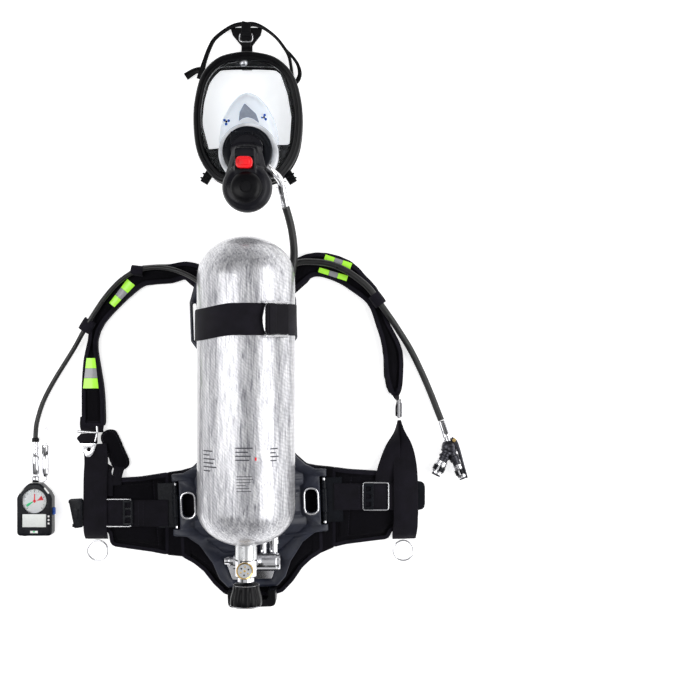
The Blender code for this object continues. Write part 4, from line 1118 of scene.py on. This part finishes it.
def bent_patch(name, x, y, width, height, mat):
    """A thin printed film that lies on the round cylinder."""
    thick, steps = 0.12, 10
    radius = CYLINDER_R + thick
    rows = []
    for k in range(steps + 1):
        turn = (x - width / 2 + width * k / steps) / CYLINDER_R
        out = Vector((math.sin(turn), 0, math.cos(turn)))
        middle = Vector((0, 0, CYLINDER_Z))
        rows.append([middle + out * r + Vector((0, v, 0)) for r, v in ((radius, y - height / 2),
            (radius + thick, y - height / 2), (radius + thick, y + height / 2), (radius, y + height / 2))])
    new_object(name, skin(rows), mat, "root")


def make_labels():
    """Printed data on the cylinder as plain bars, with no lettering or mark."""
    bars = [(-58, -30, (22, 15, 26, 24, 30, 17)), (4, -24, (27, 20, 24, 22)), (6, -68, (24, 26, 22, 14, 20,
        23)), (60, -26, (14, 10, 16, 12))]
    for group, (x, y, widths) in enumerate(bars):
        step, tall = (6.2, 2.0) if group != 2 else (4.6, 1.1)
        for k, width in enumerate(widths):
            bent_patch(f"data_bar_{group}_{k}", x - 14 + width / 2, y - step * k, width, tall, PRINT)
    bent_patch("data_bar_red", 22, -41, 2.6, 5, M["red_plastic"])


def make_valve_details():
    """The valve's gauge with its bezel, dots and pin, and the handwheel's ribbed grip."""
    at = (0, -224, 0)
    bezel = turned([(11.2, 143.8), (12.6, 144.2), (13.6, 143.2), (13.6, 140.0), (11.2, 140.0)], at)
    place("valve_gauge_bezel", bezel, "brass")
    face = turned([(0, 143.5), (11.1, 143.5), (11.1, 143.25), (0, 143.25)], at)
    place("valve_gauge_face", face, "aluminium")
    for k in range(6):
        turn = math.tau * k / 6 + 0.4
        spot = (6.6 * math.cos(turn), -224 + 6.6 * math.sin(turn), 143.4)
        new_object(f"valve_gauge_dot_{k}", turned([(0, 0.7), (1.2, 0.6), (1.5, 0), (0, 0)], spot, steps=16),
            M["brass"] if k % 2 else M["rubber"], "root")
    place("valve_gauge_pin", turned([(0, 1.2), (1.6, 1.0), (2.0, 0), (0, 0)], (0, -224, 143.4), steps=20),
        "brass")
    grip = []
    ridges = 10
    for r, y in ((4.5, -245.4), (4.5, -248.6), (17, -248.8), (20, -249.8), (21.2, -252), (21.6, -258),
            (23.4, -264), (25.4, -271), (26, -277), (25.8, -282), (24, -285), (20, -286), (8, -286), (0.01,
            -286)):
        ring = []
        for k in range(120):
            turn = math.tau * k / 120
            dip = max(0.0, math.cos(turn * ridges)) ** 1.5 * (2.4 if r > 21.3 else 0.0)
            ring.append(Vector(((r - dip) * math.cos(turn), y, CYLINDER_Z + (r - dip) * math.sin(turn))))
        grip.append(ring)
    place("handwheel_grip", skin(grip, angle=50), "rubber", "handwheel", "valve_handwheel")
    for k, (y, low, high) in enumerate(((-250.6, 21.3, 21.9), (-283.2, 25.4, 26.0))):
        ring = turned([(low, 0.5), (high, 0), (low, -0.5), (18, -0.5), (18, 0.5)], (0, y, CYLINDER_Z), (0,
            1, 0), 60)
        place(f"handwheel_ring_{k}", ring, "steel", "handwheel")


make_hinge_covers()
make_adjusters()
make_belt_socket()
make_band_lever()
make_plate()
make_cylinder()
make_labels()
make_valve_details()

# ---- mask


def mask_outline(inset):
    """The closed outline of the mask's rim, drawn in by an inset."""
    half = [(0, -108), (45, -101), (68, -80), (84, -48), (90, -6), (88, 36), (75, 78), (45, 104), (0, 112)]
    right = [Vector((p[0], p[1])) for p in smooth(half, 8)]
    ring = right + [Vector((-p.x, p.y)) for p in reversed(right) if p.x > 0.01]
    return [Vector((MASK_X + p.x * (1 - inset / 90), MASK_Y + p.y * (1 - inset / 110))) for p in ring]


def on_mask(outline, z):
    """The outline at a height, bent back towards the sides of the face."""
    return [Vector((p.x, p.y, z - MASK_DROP * ((p.x - MASK_X) / 90) ** 2)) for p in outline]


def window_outline():
    """The clear opening of the visor, one point for each point of the rim."""
    corners = rounded([(-64, 600), (48, 600), (62, 560), (69, 519), (66, 472), (-70, 464), (-83, 512), (-80,
        548)], 5, 5)
    middle = Vector((MASK_X, MASK_Y))
    found = []
    for spot in mask_outline(12):
        ray = spot - middle
        best = 1.0
        for a, b in zip(corners, corners[1:] + corners[:1]):
            side = b - a
            cross = ray.x * side.y - ray.y * side.x
            if abs(cross) < 1e-9:
                continue
            away = a - middle
            reach = (away.x * side.y - away.y * side.x) / cross
            share = (away.x * ray.y - away.y * ray.x) / cross
            if 0 < reach < best and -1e-6 <= share <= 1 + 1e-6:
                best = reach
        found.append(middle + ray * best)
    return found


def make_seal():
    wall = [(1, 52), (3, 46), (4, 36), (3, 32.5), (1, 31), (-1, 29.5), (2, 29.4), (6, 30.6)]
    back = [(8, 34.8), (7, 37), (6, 48), (4, 52)]
    rings = [on_mask(mask_outline(inset), z) for inset, z in wall]
    window = window_outline()
    for share, z in ((0.5, 32.6), (1.0, 34), (1.0, 36), (0.5, 34.8)):
        rings.append(on_mask([b.lerp(w, share) for b, w in zip(mask_outline(8), window)], z))
    rings.extend(on_mask(mask_outline(inset), z) for inset, z in back)
    seal = skin(rings, ring=True)
    lugs = []
    for side in (-1, 1):
        stations = [(MASK_X + side * 56, 438, 23.5, 17, 0), (MASK_X + side * 66, 427, 23.5, 15, 0),
            (MASK_X + side * 76, 411, 23.5, 14, 0)]
        lugs.append(ribbon(stations, 6))
        for y in (421, 414):
            away = 62 + (438 - y) * 0.55
            lugs.append(rod(1.6, (MASK_X + side * (away - 7), y, 27), (MASK_X + side * (away + 6), y + 6,
                27), 12))
    place("seal", joined([seal, *lugs]), "rubber", "root", "face_seal")

    rim = [(2, 6), (0, 5.2), (-1.5, 3), (-1.7, -2), (-1.2, -6), (0, -7.6), (9, -7.6), (9, -1), (12, -1),
        (12.6, 2), (12, 5), (10.6, 6.2), (8.6, 6.2), (7.6, 5), (6, 4.9), (5, 6.2)]
    rings = [on_mask(mask_outline(inset), MASK_RIM_Z + z) for inset, z in rim]
    place("rim", skin(rings, ring=True), "rubber", "root", "visor_frame")

    base = mask_outline(11.5)
    levels = ((0.0, 61.0), (0.35, 60.4), (0.8, 59.0), (1.0, 57.6), (1.0, 55.0), (0.0, 55.0))
    rings = [on_mask([b.lerp(w, share) for b, w in zip(base, window)], z) for share, z in levels]
    new_object("window_flange", skin(rings, ring=True), M["visor_edge"], "root")
    # A small grey metal cap on the frame's brow, there only to throw a painted highlight onto the black
    # frame.
    glint = turned([(0, 3.4), (2.4, 3.1), (4.6, 2.1), (6.4, 0.7), (7.2, -0.6), (0, -0.6)], (-9, 606, 61),
        steps=48)
    new_object("brow_highlight_cap", glint, M["brow_painted_highlight"], "root")


def make_visor():
    edge = mask_outline(11.8)
    middle = Vector((MASK_X, MASK_Y))
    rows = []
    shares = [0.985, 0.9, 0.78, 0.64, 0.5, 0.37, 0.25, 0.15, 0.07, 0.02, 0.0]
    for wall, order in ((0, shares), (2.2, shares[::-1])):
        for share in order:
            lift = 24 * (1 - (1 - share) ** 2)
            rows.append(on_mask([middle + (p - middle) * (1 - share) for p in edge],
                MASK_RIM_Z + 1.6 + lift + wall))
    hole = rod(36.6, (PORT_X, PORT_Y, 20), (PORT_X, PORT_Y, 130), 72, 0)
    place("visor_shell", cut(skin(rows), hole), "clear_visor", "root", "visor")


def make_cup():
    corners = [(-5, 563), (12, 556), (27, 540), (38, 521), (44, 503), (48, 478), (44, 452), (30, 432), (0,
        426), (-32, 432), (-48, 452), (-53, 478), (-50, 504), (-43, 524), (-33, 542), (-20, 557)]
    outer = evenly([Vector((p.x, p.y, 0)) for p in rounded(corners, 12, 4)], 3.2, closed=True)
    rows = []
    for share, z in ((0.0, 19), (-0.03, 21), (-0.02, 28), (0.02, 38), (0.07, 48), (0.15, 56), (0.27, 62),
            (0.44, 66.5), (0.66, 69), (1.0, 70), (1.0, 68), (0.66, 67), (0.44, 64), (0.27, 59), (0.16, 52),
            (0.08, 40), (0.04, 26), (0.03, 19)):
        ring = []
        for point in outer:
            away = (point - Vector((PORT_X, PORT_Y, 0))).normalized() * 34
            spot = point.lerp(Vector((PORT_X, PORT_Y, 0)) + away, share)
            ring.append(Vector((spot.x, spot.y, z)))
        rows.append(ring)
    place("orinasal_cup", skin(rows, ring=True), "cup_rubber", "root", "inner_cup")
    # The nose fold is coloured a darker grey-blue than the cup: painted shade along the crease of the nose.
    nose = slab([rounded([(-7, 537), (-15, 522), (-17, 504), (18, 503), (12, 519)], 2)], 66.5, 68.8, 0.9)
    new_object("nose_fold", nose, M["cup_painted_shade"], "root")
    for name, x, y in (("left", -37, 506.5), ("right", 25, 513.5)):
        seat = turned([(0, 4), (6.6, 4), (7.8, 2.4), (7.8, -6), (0, -6)], (x, y, 62), steps=32)
        place(f"{name}_valve_seat", seat, "cup_rubber")
        for k in range(3):
            turn = math.tau * k / 3 + (0.4 if x < 0 else 1.3)
            spot = Vector((x + 4.0 * math.cos(turn), y + 4.0 * math.sin(turn), 66))
            lobe = turned([(0, 0.8), (1.9, 0.7), (2.3, 0), (0, 0)], spot, steps=20)
            place(f"{name}_valve_lobe_{k}", lobe, "blue_plastic")
        dot = turned([(0, 1.8), (1.3, 1.7), (1.8, 0.9), (1.8, 0), (0, 0)], (x, y, 66), steps=20)
        place(f"{name}_valve_pin", dot, "rubber")


def make_port():
    at = (PORT_X, PORT_Y, 0)
    collar = turned([(41.4, 88), (45, 88.8), (48, 87.6), (49, 85), (49, 62), (41.4, 62)], at, steps=96)
    new_object("port_collar", collar, M["port_collar"], "root")
    profile = [(27.4, 103.4), (30, 104), (37.6, 104), (40.2, 102.8), (41, 100), (41, 94), (40.4, 92.4),
        (36.4, 90), (36.2, 60), (30, 57.5), (27.4, 57.5)]
    shell = turned(profile, at, steps=96)
    latch = slab([rounded(rectangle(-8, 472, 37, 22), 3)], 100, 109, 1.6)
    grips = [block((29, 1.8, 1.6), (-8, y, 109.2), 0.6) for y in (466, 478, 481)]
    place("port_shell", joined([shell, latch, *grips]), "black_plastic", "root", "port_housing")
    for name, low, high in (("left", 118, 168), ("right", 12, 62)):
        arc = []
        for k in range(13):
            turn = math.radians(low + (high - low) * k / 12)
            arc.append(Vector((PORT_X + 35.5 * math.cos(turn), PORT_Y + 35.5 * math.sin(turn), 104.2)))
        place(f"{name}_port_catch", tube(arc, 1.5, 12), "black_plastic")


def make_valve_body():
    """The demand valve: a round head, a neck with a raised spine and a plug in the port."""
    head = turned([(0, 137), (24, 137), (32, 134.5), (38, 129), (40.4, 122), (40.6, 114), (38, 107.5), (34,
        106), (0, 106)], (BULB_X, BULB_Y, 0), steps=72)
    flank = []
    for y, half, top in ((461, 20, 118), (456, 23, 125), (445, 26, 128), (428, 29.5, 128), (412, 35, 128),
            (396, 38, 128)):
        section = []
        for x, z in ((-half, 106), (half, 106), (half, top - 12), (half * 0.72, top - 3), (half * 0.4, top),
                (-half * 0.4, top), (-half * 0.72, top - 3), (-half, top - 12)):
            section.append(Vector((1 + x, y, z)))
        flank.append(section)
    spine = slab([rounded([(-17, 396), (19, 396), (15.5, 452), (-17.5, 452)], 6)], 112, 137.6, 2.4)
    plug = rod(26.6, (PORT_X, PORT_Y, 76), (PORT_X, PORT_Y, 112), 64, 0)
    boss = rod(7.4, (41, 414, 101), (41, 414, 112), 40, 1)
    raw = joined([head, skin(flank), spine, plug, boss])
    made = modified(raw, ("REMESH", {"mode": "VOXEL", "voxel_size": 1.3 * MM}), ("SMOOTH", {"factor": 0.5,
        "iterations": 7}))
    made = cut(made, block((29, 21, 10), (-1, 427, 138), 1.5))
    new_object("valve_head", made, M["demand_plastic"], "demand_valve",
        ("demand_valve_body",))
    button = slab([rounded(rectangle(-1, 427, 27, 19), 8.6, 8)], 135.8, 146.6, 1.8, 4)
    pad = slab([rounded(rectangle(-0.4, 427.6, 17, 11), 5.2, 8)], 145, 148.6, 1.2, 3)
    place("bypass_cap", joined([button, pad]), "red_plastic", "bypass", "bypass_button")
    cover = turned([(0, 146.6), (8, 146.4), (8.6, 145.6), (9.4, 145.6), (10, 146.2), (17, 144.8), (22,
        142.6), (24.6, 139.6), (25, 138.4), (0, 138.4)], (BULB_X, BULB_Y - 2, 0), steps=72)
    place("diaphragm_cover", cover, "rubber", "demand_valve", "demand_valve_cover")
    elbow = tube(smooth([(34, 424, 115), (43, 416, 112), (51, 409, 102), (55, 402, 90), (56, 392, 81.6)],
        6), 5.8, 28)
    start, end = Vector((54, 403, 85.4)), Vector((61, 366, 71.5))
    reach = (end - start).length
    profile = [(0, reach), (7.0, reach), (7.8, reach - 0.8), (7.8, reach - 3), (6.8, reach - 3.6), (6.8,
        reach - 5.4), (8.2, reach - 6), (8.2, 21), (7.4, 20.4), (7.4, 18.6), (9.2, 18), (9.2, 7), (8.4,
        6.2), (8.4, 0), (0, 0)]
    swivel = turned(profile, start, end - start, 48)
    place("hose_swivel_parts", joined([elbow, swivel]), "chrome", "demand_valve", "hose_swivel")


def make_harness():
    """The head straps: two arches from one buckle, a loop and a free end."""
    left = [(-4, 682, 12, 10, 0), (-20, 683, 12, 8, 0), (-38, 677, 12, 7, 0), (-61, 660, 12, 7, 0), (-71,
        644, 12, 7.5, 0), (-80, 620, 12, 8, 0), (-85, 603, 11, 10, 0), (-89, 590, 10, 11, 0)]
    right = [(-8, 682, 12, 10, 0), (4, 683, 12, 8, 0), (20, 677, 12, 6, 0), (39, 663, 12, 5.5, 0), (52, 648,
        12, 5.5, 0), (63, 630, 12, 5.5, 0), (67, 612, 11, 5.5, 0), (69, 596, 10, 6, 0)]
    loop = [(58, 641, 9, 4, 0), (68, 630, 9, 5, 0), (78, 616, 9, 5.5, 0), (82, 600, 9, 7, 0), (78, 588, 8,
        8, 0), (71, 583, 8, 7, 0)]
    tail = [(-78, 600, 8, 9, 0), (-86, 606, 8, 10, 0), (-98, 604, 7, 11, 0), (-113, 595, 6, 13, 0)]
    meshes = [ribbon(line, thick) for line, thick in ((left, 3.4), (right, 3.4), (loop, 3), (tail, 3))]
    web = rounded([(-37, 679), (18, 679), (15, 666), (1, 648), (1, 606), (-18, 606), (-18, 648), (-33,
        666)], 2)
    slots = [rounded([(-25, 668), (-17, 668), (-14, 652)], 1), rounded([(9, 668), (1, 668), (-2, 652)], 1)]
    meshes.append(slab([web], 3, 6.5, 0.7))
    meshes.append(slab([rounded([(-18, 660), (-1, 660), (-1, 683), (-16, 687.6)], 2)], 14, 19, 1.4))
    meshes.append(block((20, 5, 6), (-9, 665, 17), 1.6))
    meshes.append(block((16, 22, 3), (-9, 654, 16), 1.2))
    meshes.extend(slab([slot_hole], 6, 7.6, 0.5) for slot_hole in slots)
    place("head_straps", joined(meshes), "rubber", "root", "head_harness")
    loop = [(p.x, p.y, 18.6) for p in rounded(rectangle(-9, 659, 22, 15), 6, 8)]
    place("harness_buckle", tube(evenly(loop, 1.5, closed=True), 1.1, 12, closed=True), "steel")


# ---- console


def make_console():
    x = CONSOLE_X
    outline = rounded([(x - 29.5, -187), (x + 29.5, -187), (x + 29.5, -122), (x + 24, -112), (x + 14, -102),
        (x + 9, -98), (x - 9, -98), (x - 14, -102), (x - 24, -112), (x - 29.5, -122)], 7, 6)
    case = slab([outline], 0, 25.6, 3.2, 4)
    case = cut(case, rod(20.8, (x, DIAL_Y, 20), (x, DIAL_Y, 40), 80, 0), block((41, 23, 4), (x, -161, 26),
        0.6), block((10, 13, 9), (x + 29.5, -146, 13), 0.4))
    place("console_shell", case, "black_plastic", "root", "console_case")
    new_object("console_screen", block((40, 22, 0.6), (x, -161, 24.5), 0.2), SCREEN, "root")
    for k in range(3):
        square = block((3, 3, 1), (x + 24.6, -153.6 - 6 * k, 25.7), 0.3)
        place(f"console_lamp_{k}", square, "white_dial")
    place("console_strip", block((13, 4, 1), (x, -180, 25.7), 0.4), "white_dial")
    new_object("console_strip_lamp", block((3, 2.4, 1), (x, -179.4, 26.1), 0.3), GREEN, "root")
    for name, side in (("left", -1), ("right", 1)):
        bar = block((12.5, 2.6, 1.2), (0, 0, 0), 0.5)
        bar.transform(Matrix.Translation(mm(x + side * 21.2, -110,
            25.6)) @ Matrix.Rotation(side * math.radians(-52), 4, "Z"))
        place(f"{name}_console_bar", bar, "white_dial")
    place("side_key_left", block((1.6, 10, 7), (x - 29, -126, 13), 0.6), "blue_plastic")
    foot = turned([(0, 5), (4, 5), (4.6, 4), (4.6, -3), (0, -3)], (x - 18, -183.6, 13), (0, -1, 0), 32)
    place("console_knob", foot, "rubber")
    face = turned([(0, 21.9), (19.8, 21.9), (20.2, 21.6), (20.2, 20.4), (0, 20.4)], (x, DIAL_Y, 0),
        steps=96)
    place("dial_face", face, "white_dial", "root", "gauge_dial")
    for k in range(13):
        turn = math.radians(225 - 270 * k / 12)
        out = Vector((math.cos(turn), math.sin(turn), 0))
        spot = Vector((x, DIAL_Y, 21.95))
        tick = tube([spot + out * 15.6, spot + out * (18.4 if k % 3 else 19)], 0.22 if k % 3 else 0.4, 8)
        new_object(f"dial_tick_{k}", tick, PRINT, "root")
    green = rounded([(x - 13, -138), (x - 9.6, -136.2), (x - 2.4, -129.6), (x - 2.6, -128.4), (x - 12,
        -132.6), (x - 14.4, -134.6)], 0.4)
    new_object("dial_green_mark", slab([green], 21.7, 22.0, 0), GREEN, "root")
    red = rounded([(x + 3.4, -127.6), (x + 15.4, -126.4), (x + 11.4, -118.6), (x + 7, -124.4)], 0.4)
    new_object("dial_red_mark", slab([red], 21.7, 22.0, 0), M["red_plastic"], "root")


def make_console_metal():
    """The swivel above the console, the whistle beside it and its hook and tether."""
    x = CONSOLE_X - 1
    profile = [(0, 70), (4.4, 70), (5.4, 69), (5.4, 66), (4.2, 65), (4.2, 62), (5.6, 61), (5.6, 56), (4.0,
        55), (4.0, 51), (5.4, 50), (5.4, 46), (5.0, 45.2), (6.2, 44), (6.4, 43), (6.4, 15), (5.8, 14), (3.6,
        13), (3.6, 11.6), (6.0, 10.6), (7.0, 8), (7.4, 5), (6.6, 2.4), (5.0, 0.4), (0, 0.2)]
    swivel = turned(profile, (x, -97.4, 12.4), (0, 1, 0), 56)
    place("console_swivel", swivel, "chrome", "root", "console_fitting")
    boot = turned([(0, 8), (4.4, 8), (6.2, 6), (6.2, 1), (5, 0), (0, 0)], (x, -29, 12.4), (0, 1, 0), 32)
    place("console_hose_boot", boot, "rubber")
    x = CONSOLE_X + 15
    profile = [(0, 54), (5.2, 54), (6.2, 53), (6.2, 38), (5.7, 37.2), (6.2, 36.4), (6.2, 6), (5.4, 3), (3.4,
        0), (0, 0)]
    whistle = turned(profile, (x, -88, 7), (0, 1, 0), 56)
    place("whistle_barrel", whistle, "chrome", "root", "alarm_whistle")
    for k, side in enumerate((-1, 1)):
        slit = block((1.8, 15, 0.6), (x + side * 4.2, -42, 11.8), 0.2)
        place(f"whistle_slit_{k}", slit, "rubber")
    hook = smooth([(x + 1, -34, 7), (x - 2.2, -28, 7), (x - 2.6, -19, 7), (x - 2.2, -9, 7), (x + 0.6, -4.6,
        7), (x + 3.2, -8, 7), (x + 3.0, -14, 7), (x + 3.2, -26, 7), (x, -34, 7)], 6)
    tether = smooth([(x, -88, 6), (x + 1.4, -92, 5), (x - 3, -97, 5), (x - 8, -97.6, 8)], 6)
    wires = [tube(hook, 0.7, 10), tube(tether, 0.8, 10)]
    place("whistle_wires", joined(wires), "steel")


# ---- coupling


def make_coupling():
    """The second user's Y block: two collars with sleeves, a lever and the hose ferrule."""
    hub = COUPLING_HUB
    hub_body = turned([(0, 12), (7, 11.4), (11, 8.4), (13.2, 3), (13.2, -3), (11, -8.4), (7, -11.4), (0,
        -12)], hub, steps=56)
    seat = turned([(0, 12.8), (5, 12.8), (6, 12), (6, 9), (0, 9)], hub + Vector((2.6, -3, 0)), steps=40)
    blocks = [hub_body, seat]
    sleeves = []
    for name, end, radius in (("left", (313, -86), 10.4), ("right", (361, -92), 9.2)):
        far = Vector((*end, hub.z))
        along = (far - hub).normalized()
        reach = (far - hub).length
        neck = [(0, reach - 33.6), (radius - 1.6, reach - 33.6), (radius - 0.6, reach - 34.4),
            (radius - 0.6, 17), (radius - 2.4, 16), (radius - 2.4, 12), (radius + 0.6, 11), (radius + 0.6,
            4), (0, 4)]
        blocks.append(turned(neck, hub, along, 48))
        stem = [(0, reach - 6), (4.4, reach - 6), (4.4, reach - 1), (radius - 3, reach - 1), (radius - 2.6,
            reach - 2), (radius - 2.6, 20), (0, 20)]
        blocks.append(turned(stem, hub, along, 48))
        span = 24
        wall = [(radius - 2.2, span), (radius - 0.8, span), (radius, span - 1), (radius, span - 4),
            (radius - 1.4, span - 5), (radius - 1.4, 9), (radius, 8), (radius, 5), (radius - 1, 4.4),
            (radius, 3.6), (radius, 1), (radius - 0.8, 0), (radius - 2.2, 0)]
        start = hub + along * (reach - 28)
        ring = turned(wall, start, along, 56)
        place(f"{name}_collar_ring", ring, "chrome", f"collar_{name}", f"coupling_collar_{name}")
        grip = [(radius - 1.6, 18.6), (radius + 0.1, 18.2), (radius + 0.1, 9.6), (radius - 1.6, 9.2)]
        sleeve = turned(grip, start, along, 56)
        across = along.cross(UP)
        slit = block((2.6, 8.6, 0.8), (0, 0, 0), 0.3)
        turn = along.to_track_quat("Y", "Z").to_matrix().to_4x4()
        spot = (start + along * 14 + across * 2.6 + UP * (radius - 0.1)) * MM
        slit.transform(Matrix.Translation(spot) @ turn)
        place(f"{name}_collar_slit", slit, "chrome", f"collar_{name}")
        sleeves.append((name, sleeve))
    new_object("coupling_block", joined(blocks), M["dark_metal"], "root", ("coupling_body",))
    for name, sleeve in sleeves:
        place(f"{name}_collar_sleeve", sleeve, "black_plastic", f"collar_{name}")
    rear, tip = Vector((336, -30, hub.z)), Vector((323.4, 7.6, 10.5))
    reach = (rear - tip).length
    profile = [(0, reach), (8.0, reach), (8.0, reach - 7), (6.6, reach - 7.6), (6.6, reach - 10), (7.8,
        reach - 11), (7.8, reach - 16), (7.2, reach - 17), (7.2, 2), (6.4, 0.4), (0, 0.2)]
    place("coupling_ferrule", turned(profile, tip, rear - tip, 48), "chrome")
    lever = ribbon([(339.5, -22, 20.4, 6, 0), (346, -27, 22, 7, 0), (352, -42, 22.4, 6, 0), (358, -62, 20.4,
        5, 0), (364.4, -82, 19, 3.4, 0), (366.4, -89, 18.6, 3.2, 0)], 2.6)
    new_object("coupling_lever", lever, M["dark_metal"], "root")
    pin = turned([(0, 2), (2.6, 1.8), (3.2, 1), (3.2, -2), (0, -2)], (344, -25, 22.6), steps=28)
    place("coupling_lever_pin", pin, "brass")


M["visor_edge"] = moulded_material("visor_edge", (0.012, 0.013, 0.014), 0.22, level=0.2)
M["port_collar"] = moulded_material("port_collar", (0.86, 0.88, 0.92), 0.2)
# Grey metal for the brow cap: a painted highlight on the black frame.
M["brow_painted_highlight"] = metal_material("brow_painted_highlight", (0.50, 0.50, 0.51), 0.34)
# Darker grey-blue for the nose fold: painted shade, not a second material of the cup.
M["cup_painted_shade"] = moulded_material("cup_painted_shade", (0.30, 0.33, 0.40), 0.4)
M["demand_plastic"] = moulded_material("demand_plastic", (0.006, 0.006, 0.009), 0.30, level=0.2)
M["dark_metal"] = metal_material("dark_metal", (0.06, 0.06, 0.07), 0.34)
make_seal()
make_visor()
make_cup()
make_port()
make_valve_body()
make_harness()
make_console()
make_console_metal()
make_coupling()
